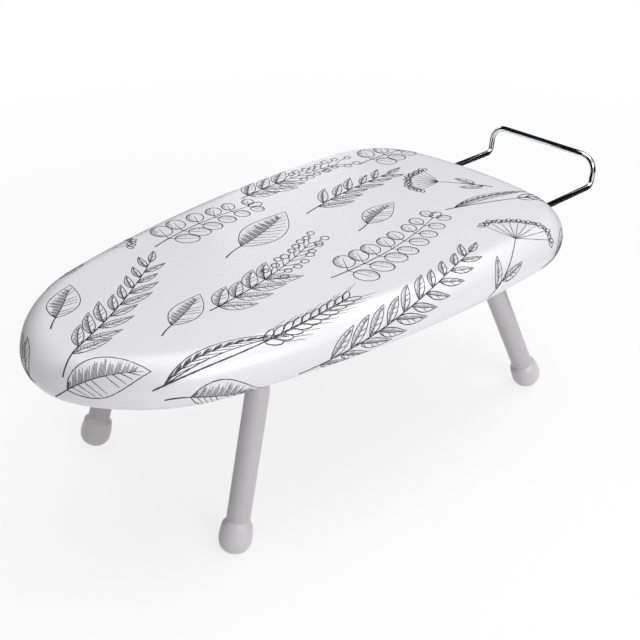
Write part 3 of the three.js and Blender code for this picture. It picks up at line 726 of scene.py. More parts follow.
class Finish(Wiring):
    """A material, wired up around its Principled shader."""

    def __init__(self, name, **constants):
        self.material = bpy.data.materials.new(name)
        self.material.use_nodes = True
        super().__init__(self.material.node_tree)
        self.shader = self.tree.nodes["Principled BSDF"]
        for constant, value in constants.items():
            socket = constant.replace("_", " ").title().replace("Ior", "IOR")
            self.shader.inputs[socket].default_value = value

    def place(self):
        return self.node("ShaderNodeTexCoord", output="Object")

    def attribute(self, name):
        return self.node("ShaderNodeAttribute", {"attribute_name": name}, output="Vector")

    def stretched(self, place, scale):
        return self.node("ShaderNodeMapping", inputs={"Vector": place, "Scale": scale})

    def part(self, vector, axis):
        return self.node("ShaderNodeSeparateXYZ", inputs={0: vector}, output=axis)

    def noise(self, place, scale, detail=3.0, roughness=0.55):
        inputs = {"Vector": place, "Scale": scale, "Detail": detail, "Roughness": roughness}
        return self.node("ShaderNodeTexNoise", inputs=inputs)

    def cells(self, place, scale):
        inputs = {"Vector": place, "Scale": scale}
        return self.node("ShaderNodeTexVoronoi", inputs=inputs, output="Color")

    def ramp(self, value, low, high):
        inputs = {"Value": value, "From Min": low, "From Max": high}
        return self.node("ShaderNodeMapRange", {"interpolation_type": "SMOOTHSTEP"}, inputs)

    def wire(self, socket, value):
        self.feed(self.shader.inputs[socket], value)

    def tint(self, share, colour, first, second):
        """Mixes two shades of a colour; index sockets pick the Mix node's colour version."""
        inputs = {0: share, 6: shaded(colour, first), 7: shaded(colour, second)}
        mix = self.node("ShaderNodeMix", {"data_type": "RGBA"}, inputs, output=2)
        self.wire("Base Color", mix)

    def bump(self, height, distance, strength):
        inputs = {"Height": height, "Distance": distance, "Strength": strength}
        self.wire("Normal", self.node("ShaderNodeBump", inputs=inputs))


def shaded(colour, factor):
    return (*[min(1.0, channel * factor) for channel in colour], 1)


def cover_finish(colour):
    """Coated cotton: a fine plain weave, slightly uneven in tone and gloss."""
    thread = 0.0009
    finish = Finish("cover_cloth", coat_weight=0.4, coat_roughness=0.2)
    flat = finish.attribute("flat")
    weave = finish.part(flat, "X").waves(thread) * finish.part(flat, "Y").waves(thread)
    cloud = finish.noise(flat, 14, 4)
    slub = finish.noise(finish.stretched(flat, (60, 900, 1)), 1, 2)
    finish.tint(finish.ramp(cloud * 0.7 + slub * 0.3, 0.3, 0.7), colour, 0.965, 1.015)
    finish.wire("Roughness", 0.34 + 0.12 * cloud)
    finish.bump(weave + slub * 0.8 + cloud * 6, 0.00006, 0.6)
    return finish.material


def ink_finish(colour):
    """Printed ink that takes unevenly on the weave."""
    finish = Finish("print_ink", specular_ior_level=0.3)
    grain = finish.noise(finish.place(), 700, 2)
    finish.tint(finish.ramp(grain, 0.45, 0.75), colour, 1, 3.2)
    finish.wire("Roughness", 0.55 + 0.2 * grain)
    return finish.material


def thread_finish(colour):
    """Twisted sewing thread."""
    finish = Finish("sewing_thread", sheen_weight=0.3)
    fibre = finish.noise(finish.place(), 2600, 2)
    finish.tint(fibre, colour, 0.8, 1)
    finish.wire("Roughness", 0.7 + 0.15 * fibre)
    finish.bump(fibre, 0.0001, 0.5)
    return finish.material


def felt_finish(colour):
    """Needled felt with loose fibres and darker flecks."""
    finish = Finish("pad_felt", sheen_weight=0.35, specular_ior_level=0.2)
    place = finish.place()
    fibre = finish.noise(place, 420, 6, 0.7)
    fleck = finish.ramp(finish.noise(place, 160, 2), 0.62, 0.72)
    finish.tint(fleck * 0.6 + fibre * 0.3, colour, 1, 0.55)
    finish.wire("Roughness", 0.86 + 0.1 * fibre)
    finish.bump(fibre, 0.0012, 0.8)
    return finish.material


def elastic_finish(colour):
    """Braided elastic: two sets of threads that cross, with painted shade in the grooves between them.
    """
    thread = 0.0022
    finish = Finish("elastic_braid", sheen_weight=0.2)
    place = finish.place()
    along = finish.part(place, "X") + finish.part(place, "Y")
    height = finish.part(place, "Z")
    braid = (along + height).waves(thread) * (along - height).waves(thread)
    # The colour is darkest where the braid's relief is lowest: painted shade in the grooves between the
    # threads.
    finish.tint(finish.ramp(braid, -0.8, 0.5), colour, 0.6, 1)
    finish.wire("Roughness", 0.75 + 0.1 * finish.noise(place, 900))
    finish.bump(braid, 0.0003, 0.7)
    return finish.material


def powder_coat_finish(name, colour, roughness):
    """Powder coat with a slight orange peel and faint handling marks."""
    finish = Finish(name, coat_weight=0.12, coat_roughness=0.25)
    place = finish.place()
    peel = finish.noise(place, 620, 2)
    drift = finish.noise(place, 22, 4)
    scuffs = finish.ramp(finish.noise(finish.stretched(place, (900, 900, 60)), 1, 5, 0.7), 0.6, 0.75)
    finish.tint(drift * 0.8 + scuffs * 0.2, colour, 0.955, 1.03)
    finish.wire("Roughness", roughness - 0.05 + 0.1 * drift + 0.08 * scuffs)
    finish.bump(peel, 0.00012, 0.45)
    return finish.material


def foot_finish(colour):
    """Moulded plastic with a fine spark-eroded grain, scuffed where it stands."""
    finish = Finish("foot_moulding", coat_weight=0.35, coat_roughness=0.14)
    place = finish.place()
    drift = finish.noise(place, 45, 3)
    low = 1 - finish.ramp(finish.part(place, "Z"), 0.0004, 0.0035)
    scuff = low * finish.ramp(finish.noise(place, 260, 5), 0.42, 0.6)
    finish.tint(drift * 0.5 + scuff * 0.5, colour, 1.02, 0.8)
    finish.wire("Roughness", 0.36 + 0.1 * drift + 0.2 * scuff)
    finish.bump(finish.noise(place, 1700, 2), 0.00012, 0.35)
    return finish.material


def nylon_finish(colour):
    """Natural nylon, slightly cloudy."""
    finish = Finish("nylon_moulding")
    place = finish.place()
    cloud = finish.noise(place, 90, 4)
    finish.tint(cloud, colour, 0.93, 1.04)
    finish.wire("Roughness", 0.4 + 0.15 * cloud)
    finish.bump(finish.noise(place, 1400, 2), 0.0001, 0.35)
    return finish.material


def cap_finish(colour):
    """Satin black moulding."""
    finish = Finish("black_moulding")
    place = finish.place()
    grain = finish.noise(place, 1500, 2)
    finish.tint(grain, colour, 1, 1.6)
    finish.wire("Roughness", 0.42 + 0.12 * finish.noise(place, 120))
    finish.bump(grain, 0.0001, 0.4)
    return finish.material


def zinc_finish(colour):
    """Zinc plate with a small spangle."""
    finish = Finish("zinc_plate", metallic=1.0)
    place = finish.place()
    spangle = finish.part(finish.cells(place, 420), "X")
    drift = finish.noise(place, 60, 4)
    finish.tint(spangle * 0.5 + drift * 0.5, colour, 0.82, 1.08)
    finish.wire("Roughness", 0.26 + 0.12 * spangle + 0.08 * drift)
    finish.bump(finish.noise(place, 900, 3), 0.00008, 0.4)
    return finish.material


def chrome_finish(colour):
    """Polished chrome with faint wiping marks."""
    finish = Finish("chrome_plate", metallic=1.0)
    place = finish.place()
    wipes = finish.noise(finish.stretched(place, (30, 400, 400)), 1, 4)
    finish.tint(finish.noise(place, 70), colour, 0.96, 1)
    finish.wire("Roughness", 0.035 + 0.04 * finish.ramp(wipes, 0.45, 0.7))
    return finish.material


# Print of the cover: leaf sprigs drawn with a pen


class Sprigs:
    """Pen strokes in the plane of the flat cloth, kept as ribbons of quads."""

    STEP = 0.0035
    OUTLINE = 0.001
    FINE = 0.00062
    HATCH = 0.0015
    PITCH = 0.0105
    LEAF_STEPS = 12
    LEAF_BELLY = 0.8
    VEIN_PITCH = 0.009
    OVAL_STEPS = 18

    def __init__(self, seed):
        self.chance = random.Random(seed)
        self.points = []
        self.faces = []

    def vary(self, value, share=0.12):
        return value * self.chance.uniform(1 - share, 1 + share)

    def stroke(self, line, width, taper=0.5):
        """A ribbon along a line, thinner towards its end."""
        fine = [line[0]]
        for start, end in zip(line, line[1:]):
            parts = max(1, math.ceil((end - start).length / self.STEP))
            for part in range(1, parts + 1):
                fine.append(start.lerp(end, part / parts))
        first = len(self.points)
        last = len(fine) - 1
        for i, point in enumerate(fine):
            along = fine[min(i + 1, last)] - fine[max(i - 1, 0)]
            across = Vector((-along.y, along.x)).normalized()
            half = width / 2 * (1 - taper * i / last)
            self.points += [point + across * half, point - across * half]
        for i in range(last):
            corner = first + 2 * i
            self.faces.append((corner, corner + 1, corner + 3, corner + 2))

    def bow(self, base, heading, length, turn, steps):
        """Points of a stem that turns evenly, with the heading at each."""
        line = [base]
        headings = [heading]
        for step in range(steps):
            angle = heading + turn * (step + 0.5) / steps
            line.append(line[-1] + unit(angle) * length / steps)
            headings.append(heading + turn * (step + 1) / steps)
        return line, headings

    def stem(self, base, heading, length, turn):
        """A drawn stem with a joint at every leaf pitch."""
        line, headings = self.bow(base, heading, length, turn, round(length / self.PITCH))
        self.stroke(line, self.OUTLINE * 1.5)
        return line, headings

    def leaf(self, base, heading, length, width, turn=0.25):
        """A pointed leaf with a midrib, side veins and one side shaded by fine lines."""
        steps = self.LEAF_STEPS
        spine, headings = self.bow(base, heading, length, turn, steps)
        edges = {}
        for side in (1, -1):
            edge = []
            for i, (point, angle) in enumerate(zip(spine, headings)):
                half = width / 2 * math.sin(math.pi * (i / steps) ** self.LEAF_BELLY)
                edge.append(point + unit(angle + side * math.pi / 2) * half)
            edges[side] = edge
            self.stroke(edge, self.OUTLINE, taper=0.35)
        self.stroke(spine[:-1], self.OUTLINE, taper=0.7)
        veins = max(3, round(length / self.VEIN_PITCH))
        for vein in range(veins):
            at = 1 + round((steps - 4) * vein / (veins - 1))
            tip = spine[at].lerp(edges[-1][at + 2], self.vary(0.85, 0.08))
            self.stroke([spine[at], tip], self.FINE * 1.2, taper=0.4)
        lines = round(length / self.HATCH)
        for line in range(lines):
            place = (steps - 2) * (line + 0.5) / lines
            at = int(place)
            root = spine[at].lerp(spine[at + 1], place - at)
            tip = edges[1][at].lerp(edges[1][at + 1], place - at).lerp(edges[1][at + 2], 0.5)
            self.stroke([root, root.lerp(tip, self.vary(0.7, 0.3))], self.FINE)

    def oval(self, centre, heading, length, width):
        """A rounded leaf or a berry, with shading lines along one side."""
        ahead = unit(heading) * (length / 2)
        aside = unit(heading + math.pi / 2) * (width / 2)
        rim = []
        for step in range(self.OVAL_STEPS + 1):
            angle = 2 * math.pi * step / self.OVAL_STEPS
            rim.append(centre + ahead * math.cos(angle) + aside * math.sin(angle))
        self.stroke(rim, self.OUTLINE, taper=0)
        lines = max(4, round(length / self.HATCH))
        for line in range(lines):
            angle = math.pi * (0.1 + 0.8 * line / (lines - 1))
            root = centre + ahead * math.cos(angle)
            edge = root + aside * math.sin(angle)
            self.stroke([edge, edge.lerp(root, self.vary(0.6, 0.3))], self.FINE)

    def lance_branch(self, base, heading, length, bend):
        """A stem with narrow leaves in turn on both sides and one at its tip."""
        stem, headings = self.stem(base, heading, length, bend)
        last = len(stem) - 1
        for i in range(2, last):
            side = 1 if i % 2 else -1
            size = self.vary(0.042 - 0.018 * i / last)
            angle = headings[i] + side * self.vary(0.72)
            self.leaf(stem[i], angle, size, size * 0.28, turn=-side * 0.3)
        self.leaf(stem[-1], headings[-1], length=0.024, width=0.007)

    def coin_branch(self, base, heading, length, bend):
        """A stem with pairs of round leaves on short stalks."""
        stem, headings = self.stem(base, heading, length, bend)
        last = len(stem) - 1
        for i in range(2, last + 1, 2):
            size = 0.027 - 0.012 * i / last
            for side in (1, -1):
                angle = headings[i] + side * self.vary(1.1)
                out = unit(angle) * size
                stalk = stem[i] + out * 0.25
                self.stroke([stem[i], stalk], self.OUTLINE, taper=0.2)
                self.oval(stalk + out * 0.5, angle, size, self.vary(size * 0.84, 0.06))
                self.stroke([stalk, stalk + out * 0.78], self.FINE * 1.4, taper=0.6)
        self.oval(stem[-1] + unit(headings[-1]) * 0.008, headings[-1], length=0.016, width=0.011)

    def berry_twig(self, base, heading, length, bend):
        """A twig with berries on stalks above a few leaves."""
        stem, headings = self.stem(base, heading, length, bend)
        last = len(stem) - 1
        for i in range(1, last // 2 + 1, 2):
            for side in (1, -1):
                size = self.vary(0.036)
                angle = headings[i] + side * self.vary(0.85)
                self.leaf(stem[i], angle, size, size * 0.4, turn=-side * 0.35)
        for i in range(last // 2, last + 1):
            for side in (1, -1):
                angle = headings[i] + side * self.vary(0.8, 0.25)
                stalk, ends = self.bow(stem[i], angle, self.vary(0.017, 0.25), -side * 0.5, steps=5)
                self.stroke(stalk, self.OUTLINE * 0.9, taper=0.2)
                size = self.vary(0.0082)
                self.oval(stalk[-1] + unit(ends[-1]) * size / 2, ends[-1], size, size * 0.94)

    def grass_ear(self, base, heading, length, bend):
        """A bent grass stem with a long blade and an ear of grains with bristles."""
        stem, headings = self.stem(base, heading, length, bend)
        self.leaf(stem[1], headings[1] + 0.42, length * 0.6, width=0.011, turn=-0.7)
        for i in range(len(stem) // 2, len(stem)):
            for side in (1, -1):
                angle = headings[i] + side * self.vary(0.45)
                middle = stem[i] + unit(angle) * 0.009
                self.oval(middle, angle, length=0.0165, width=0.006)
                tip = middle + unit(angle) * 0.008
                bristle = unit(headings[i] + side * 0.3) * self.vary(0.019)
                self.stroke([tip, tip + bristle], self.FINE, taper=0.6)

    def umbel(self, base, heading, length, bend):
        """A stem that opens into a fan of thin stalks, each with a small head of seeds."""
        stem, headings = self.stem(base, heading, length * 0.66, bend)
        self.leaf(stem[1], headings[1] + 0.7, length * 0.3, width=0.01, turn=-0.5)
        self.leaf(stem[2], headings[2] - 0.7, length * 0.3, width=0.01, turn=0.5)
        for ray in range(-4, 5):
            angle = headings[-1] + ray * 0.27
            reach = length * self.vary(0.34, 0.08)
            stalk, ends = self.bow(stem[-1], angle, reach, -ray * 0.05, steps=6)
            self.stroke(stalk, self.OUTLINE * 0.8, taper=0.3)
            for seed in range(-1, 2):
                lean = ends[-1] + seed * 0.9
                self.oval(stalk[-1] + unit(lean) * 0.005, lean, length=0.0075, width=0.0045)

    def broad_leaf(self, base, heading, length, bend):
        """One large leaf on a stalk."""
        stalk, headings = self.bow(base, heading, length * 0.24, bend, steps=6)
        self.stroke(stalk, self.OUTLINE * 1.6, taper=0.3)
        self.leaf(stalk[-1], headings[-1], length * 0.76, length * 0.36, turn=-bend)


# Motif, place of its base on the flat cloth, heading in degrees, length, and bend in degrees
SPRIG_LAYOUT = [
    ("broad_leaf", -0.372, -0.03, -42, 0.1, 14),
    ("lance_branch", -0.345, -0.035, 22, 0.19, 18),
    ("broad_leaf", -0.318, 0.018, 52, 0.08, -12),
    ("umbel", -0.28, 0.09, 36, 0.12, -14),
    ("berry_twig", -0.37, 0, 80, 0.085, -26),
    ("broad_leaf", -0.256, -0.056, 36, 0.078, -16),
    ("broad_leaf", -0.298, -0.114, -24, 0.1, -14),
    ("broad_leaf", 0.01, -0.024, 10, 0.08, 14),
    ("grass_ear", -0.3, -0.1, -16, 0.2, 22),
    ("berry_twig", -0.2, -0.05, 4, 0.16, 20),
    ("coin_branch", -0.16, 0.086, 18, 0.13, -26),
    ("lance_branch", -0.178, -0.166, 0, 0.235, 17),
    ("broad_leaf", -0.125, 0.02, 30, 0.12, -20),
    ("coin_branch", -0.08, -0.078, -4, 0.17, 24),
    ("berry_twig", -0.024, 0.118, 8, 0.14, -16),
    ("lance_branch", 0, 0.042, 14, 0.14, -14),
    ("umbel", 0.052, -0.19, 44, 0.115, -10),
    ("grass_ear", 0.112, -0.05, -18, 0.16, -18),
    ("broad_leaf", 0.142, -0.188, 14, 0.1, 14),
    ("coin_branch", 0.135, 0.1, 6, 0.085, -20),
    ("lance_branch", 0.256, -0.05, 94, 0.105, 10),
    ("umbel", 0.195, -0.045, 118, 0.09, 10),
    ("lance_branch", -0.176, 0.165, 6, 0.17, -10),
    ("grass_ear", 0, 0.185, -4, 0.19, -10),
]


# Pieces


def arm_height():
    """Height of the centreline of the rest's arms."""
    return wire_low.z + settings().rest.wire / 2


def arm_drills(form, radius):
    """Round cutters along the two arms of the rest, through the tail."""
    drills = []
    for sign in HANDS.values():
        side = sign * settings().rest.span / 2
        centre = (form.tail_x(side, settings().board.rim_inset), side, arm_height())
        drills.append(drill(radius, ARM_DRILL, centre, (0, math.pi / 2, 0)))
    return drills


class MakeCover(bpy.types.Operator):
    """Models the printed cloth cover with its hem and eyelets"""

    bl_idname = "ironing_board.make_cover"
    bl_label = "Cover"

    TOP_INSETS = (0.072, 0.058, 0.042, 0.032)
    HEM_EASE = 0.001
    GATHER_START = 0.35
    GATHER_GROWTH = 1.5
    GATHER_LEAST = 0.3
    GATHER_PITCH = 0.021
    GATHER_DRIFT = 29
    # Share of its length times its width that the flat cloth fills
    FLAT_SHARE = 0.78

    def rows(self, form):
        """Rows of points, from the flat top round the roll and into the hem."""
        hem = form.sizes.hem_inset
        bottom = form.roll[-1][3]
        rows = [form.ring(inset, form.top) for inset in self.TOP_INSETS]
        for _, angle, inset, height in form.roll:
            rows.append(self.gathered(form, form.ring(inset, height), angle))
        rows.append(form.ring(hem - self.HEM_EASE, bottom))
        rows.append(form.ring(hem, bottom + self.HEM_EASE))
        rows.append(form.ring(hem, bottom + form.sizes.hem_height))
        return rows

    def gathered(self, form, ring, angle):
        """Soft outward gathers that grow towards the hem, under the roll."""
        share = max(0, (-angle - self.GATHER_START) / (form.sizes.roll_end - self.GATHER_START))
        depth = form.sizes.gather * share**self.GATHER_GROWTH
        depth *= max(self.GATHER_LEAST, form.roll_normal(angle).x)
        pushed = []
        travelled = 0.0
        for i, point in enumerate(ring):
            following = ring[(i + 1) % len(ring)]
            along = following - ring[i - 1]
            side = Vector((along.y, -along.x, 0)).normalized()
            wave = 0.5 + 0.5 * math.sin(2 * math.pi * travelled / self.GATHER_PITCH)
            wave *= 0.7 + 0.3 * math.sin(travelled * self.GATHER_DRIFT)
            pushed.append(point + side * (depth * wave))
            travelled += (following - point).length
        return pushed

    def mark_flat(self, cover, form):
        """Keeps each point's place on the flat cloth, for the weave."""
        flat = cover.data.attributes.new("flat", "FLOAT_VECTOR", "POINT")
        for vertex in cover.data.vertices:
            flat.data[vertex.index].vector = form.undrape(vertex.co).to_3d()

    def execute(self, context):
        board = settings()
        form = BoardForm()
        cover = lofted("cover_skin", self.rows(form), fill_last=False)
        self.mark_flat(cover, form)
        thicken(cover, form.sizes.cloth)
        cut_out(cover, arm_drills(form, board.rest.eyelet))
        dress(cover, "board", "cover_cloth", cover_finish(board.colours.cover), "cover")
        spare = 2 * (form.roll[-1][0] - form.sizes.roll_above)
        width = form.sizes.width + spare
        length = form.sizes.length + spare
        area = self.FLAT_SHARE * width * length
        return {"FINISHED"}


class MakePrint(bpy.types.Operator):
    """Draws the leaf sprigs of the print on the cover"""

    bl_idname = "ironing_board.make_print"
    bl_label = "Print"

    LIFT = 0.003
    FILM = 0.00014

    def execute(self, context):
        board = settings()
        form = BoardForm()
        sprigs = Sprigs(board.stage.seed)
        for motif, x, y, heading, length, bend in SPRIG_LAYOUT:
            draw = getattr(sprigs, motif)
            draw(Vector((x, y)), math.radians(heading), length, math.radians(bend))
        mesh = bpy.data.meshes.new("sprig_print")
        mesh.from_pydata([form.drape(point, self.LIFT) for point in sprigs.points], [], sprigs.faces)
        ink = bpy.data.objects.new("sprig_print", mesh)
        context.collection.objects.link(ink)
        skin = bpy.data.objects["cover_skin"]
        apply_modifier(ink, "SHRINKWRAP", target=skin, wrap_mode="ABOVE_SURFACE", offset=self.FILM)
        dress(ink, "board", "cover_cloth", ink_finish(board.colours.ink))
        return {"FINISHED"}


class MakeStitching(bpy.types.Operator):
    """Sews the hem and the eyelets"""

    bl_idname = "ironing_board.make_stitching"
    bl_label = "Stitching"

    STITCH = (0.0034, 0.0006, 0.0005)
    STITCH_EASE = 0.0002
    HEM_MARGIN = 0.0032
    HEM_SINK = 0.0002
    EYELET_STITCHES = 34
    EYELET_MARGIN = 0.0012
    EYELET_LIFT = 0.0001

    def sewn(self, name, places):
        """A flat stitch along X, copied to its places and joined into one piece."""
        stitch = add_primitive("stitch", bpy.ops.mesh.primitive_cube_add, size=1, scale=self.STITCH)
        with editing(stitch):
            bpy.ops.mesh.bevel(offset=self.STITCH_EASE, segments=1, affect="EDGES")
        copies = [copy_of(stitch, "stitch_copy", place) for place in places]
        bpy.data.objects.remove(stitch)
        return joined(name, copies)

    def hem_places(self, form):
        """Places along the hem, one for each step of the outline."""
        bottom = form.roll[-1][3]
        line = form.ring(form.sizes.hem_inset - self.HEM_MARGIN, bottom - self.HEM_SINK)
        places = []
        for i, point in enumerate(line):
            along = line[(i + 1) % len(line)] - point
            turn = Matrix.Rotation(math.atan2(along.y, along.x), 4, "Z")
            places.append(Matrix.Translation(point + along / 2) @ turn)
        return places

    def eyelet_places(self, form, side):
        """Places round one eyelet, on the skin of the roll."""
        height = arm_height()
        angle = math.asin((height - form.edge) / form.sizes.undercut)
        inset, _ = form.roll_point(angle, 0)
        turn = math.asin(side / (form.arcs[0].radius - inset))
        outward, upward = form.roll_normal(angle)
        normal = (outward * math.cos(turn), outward * math.sin(turn), upward)
        middle = Matrix.Translation((form.tail_x(side, inset), side, height)) @ facing(normal)
        reach = settings().rest.eyelet + self.EYELET_MARGIN
        out = Matrix.Translation((reach, 0, self.EYELET_LIFT))
        places = []
        for i in range(self.EYELET_STITCHES):
            spoke = Matrix.Rotation(2 * math.pi * i / self.EYELET_STITCHES, 4, "Z")
            places.append(middle @ spoke @ out)
        return places

    def execute(self, context):
        board = settings()
        form = BoardForm()
        thread = thread_finish(board.colours.cover)
        dress(self.sewn("hem_stitching", self.hem_places(form)), "board", "cover_cloth", thread)
        for hand, sign in HANDS.items():
            places = self.eyelet_places(form, sign * board.rest.span / 2)
            dress(self.sewn(f"eyelet_stitching_{hand}", places), "board", "cover_cloth", thread)
        return {"FINISHED"}


class MakePad(bpy.types.Operator):
    """Models the felt pad and the elastic cord in the hem"""

    bl_idname = "ironing_board.make_pad"
    bl_label = "Pad and elastic"

    TOP_INSET = 0.06
    LIP = 0.002
    SLEEVE = 0.0058
    CORD_SIDES = 14

    def execute(self, context):
        colours = settings().colours
        form = BoardForm()
        sizes = form.sizes
        depth = sizes.cloth + GAP
        rows = [form.ring(self.TOP_INSET, pad_high.z)]
        for angle in form.roll_angles():
            rows.append(form.ring(*form.roll_point(angle, depth)))
        lip = form.roll_point(-sizes.roll_end, depth)[0] + self.LIP
        wall = sizes.rim_inset - GAP
        tuck = rim_low.z - GAP
        rows.append(form.ring(lip, pad_low.z))
        rows.append(form.ring(lip, tuck))
        rows.append(form.ring(wall, tuck))
        rows.append(form.ring(wall, pad_high.z - sizes.pad))
        pad = lofted("felt_pad", rows)
        cut_out(pad, arm_drills(form, self.SLEEVE))
        dress(pad, "board", "pad_foam", felt_finish(colours.felt), "pad")

        low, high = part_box("hem_elastic")
        radius = (high.z - low.z) / 2
        middle = (low.x - cover_low.x + radius, low.z + radius)
        elastic = hoop("elastic_cord", form, arc_points(middle, radius, 0, 360, self.CORD_SIDES))
        dress(elastic, "board", "elastic_cord", elastic_finish(colours.elastic), "hem_elastic")
        return {"FINISHED"}


class MakeDeck(bpy.types.Operator):
    """Models the mesh deck, its rim and the cross rails"""

    bl_idname = "ironing_board.make_deck"
    bl_label = "Deck"

    GRID_MARGIN = 1.3
    BORDER = 0.008
    BORDER_EASE = 0.0003
    RIM_EASE = 0.0005
    RAILS = ("front_rail", "rear_rail", "rest_rail")
    RAIL_STEPS = 12
    RAIL_EASE = 0.0005
    ROUGHNESS = 0.42

    def strands(self, form):
        """Expanded mesh: a grid turned to diamonds, trimmed to the outline and given strands."""
        sizes = form.sizes
        cell = sizes.mesh_short / math.sqrt(2)
        cells = math.ceil(sizes.length * self.GRID_MARGIN / cell)
        stretch = sizes.mesh_long / sizes.mesh_short
        middle = (deck_low + deck_high) / 2
        mesh = add_primitive(
            "mesh_strands",
            bpy.ops.mesh.primitive_grid_add,
            x_subdivisions=cells,
            y_subdivisions=cells,
            size=cell * cells,
            rotation=(0, 0, math.pi / 4),
        )
        move_into_place(mesh, Matrix.Translation(middle) @ Matrix.Diagonal((stretch, 1, 1, 1)))
        border = sizes.rim_inset + self.BORDER / 2
        with editing(mesh) as grid:
            bpy.ops.mesh.select_all(action="DESELECT")
            for vertex in grid.verts:
                vertex.select = abs(vertex.co.y) > form.half_width(vertex.co.x, border)
            grid.select_flush_mode()
            bpy.ops.mesh.delete(type="VERT")
        apply_modifier(mesh, "WIREFRAME", thickness=sizes.mesh_strand, use_even_offset=False)
        flat = Matrix.Diagonal((1, 1, (deck_high.z - deck_low.z) / sizes.mesh_strand, 1))
        move_into_place(mesh, Matrix.Translation(middle) @ flat @ Matrix.Translation(-middle))
        return mesh

    def rail(self, form, node):
        """A channel folded from sheet, its ends trimmed to the inside of the rim."""
        low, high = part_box(node)
        inset = form.sizes.rim_inset + form.sizes.rim + GAP
        floor = []
        for step in range(self.RAIL_STEPS + 1):
            x = low.x + (high.x - low.x) * step / self.RAIL_STEPS
            floor.append(Vector((x, form.half_width(x, inset), low.z)))
        ring = [*reversed(floor), *[Vector((point.x, -point.y, point.z)) for point in floor]]
        rail = lofted(f"{node}_channel", [ring], fill_last=False)
        with editing(rail) as mesh:
            bpy.ops.mesh.select_all(action="DESELECT")
            for edge in mesh.edges:
                first, last = edge.verts
                edge.select = abs(first.co.x - last.co.x) < SAME_PLACE
            extrude_edges((0, 0, high.z - low.z))
            face_down(rail)
        thicken(rail, form.sizes.rail_wall)
        soften(rail, self.RAIL_EASE, 2)
        return rail

    def execute(self, context):
        form = BoardForm()
        coat = powder_coat_finish("deck_coat", settings().colours.deck, self.ROUGHNESS)
        outer = form.sizes.rim_inset
        strands = self.strands(form)
        inner = outer + self.BORDER
        section = rounded_section(outer, inner, deck_low.z, deck_high.z, self.BORDER_EASE)
        plate = joined("mesh_plate", [hoop("mesh_border", form, section), strands])
        dress(plate, "board", "painted_steel", coat, "mesh_deck")

        inner = outer + form.sizes.rim
        section = rounded_section(outer, inner, rim_low.z, rim_high.z, self.RIM_EASE)
        rim = hoop("rim_hoop", form, section)
        cut_out(rim, arm_drills(form, MakePad.SLEEVE))
        dress(rim, "board", "painted_steel", coat, "rim_band")
        for node in self.RAILS:
            dress(self.rail(form, node), "board", "painted_steel", coat, node)
        return {"FINISHED"}


def rail_seat(end):
    """Height just under a rail, where what is fixed to it ends."""
    low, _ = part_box(f"{end}_rail")
    return low.z - GAP


class LegFrame:
    """Sizes and place of one leg frame, in the plane through its hinge."""

    def __init__(self, end):
        legs = settings().legs
        self.lean = 1 if end == "front" else -1
        self.half = getattr(legs, f"{end}_half")
        self.splay = getattr(legs, f"{end}_splay")
        self.pivot = Vector(joints[f"{end}_leg_fold"]["pos_m"])
        tilt = getattr(legs, f"{end}_tilt")
        slope = math.acos(math.cos(self.splay) * math.cos(tilt))
        self.length = (self.pivot.z - getattr(legs, f"{end}_sole")) / math.cos(slope)
        self.place = Matrix.Translation(self.pivot) @ Matrix.Rotation(self.lean * tilt, 4, "Y")

    def down_leg(self, sign, length):
        """A point at a length down one leg, in the plane of the frame."""
        across = self.half + length * math.sin(self.splay)
        return Vector((0, sign * across, -length * math.cos(self.splay)))

    def tube_corners(self):
        end = self.length - settings().legs.foot_base - GAP
        stops = ((1, end), (1, 0), (-1, 0), (-1, end))
        return [self.place @ self.down_leg(*stop) for stop in stops]

    def foot_place(self, sign):
        down = Matrix.Translation(self.down_leg(sign, self.length))
        return self.place @ down @ Matrix.Rotation(sign * self.splay, 4, "X")


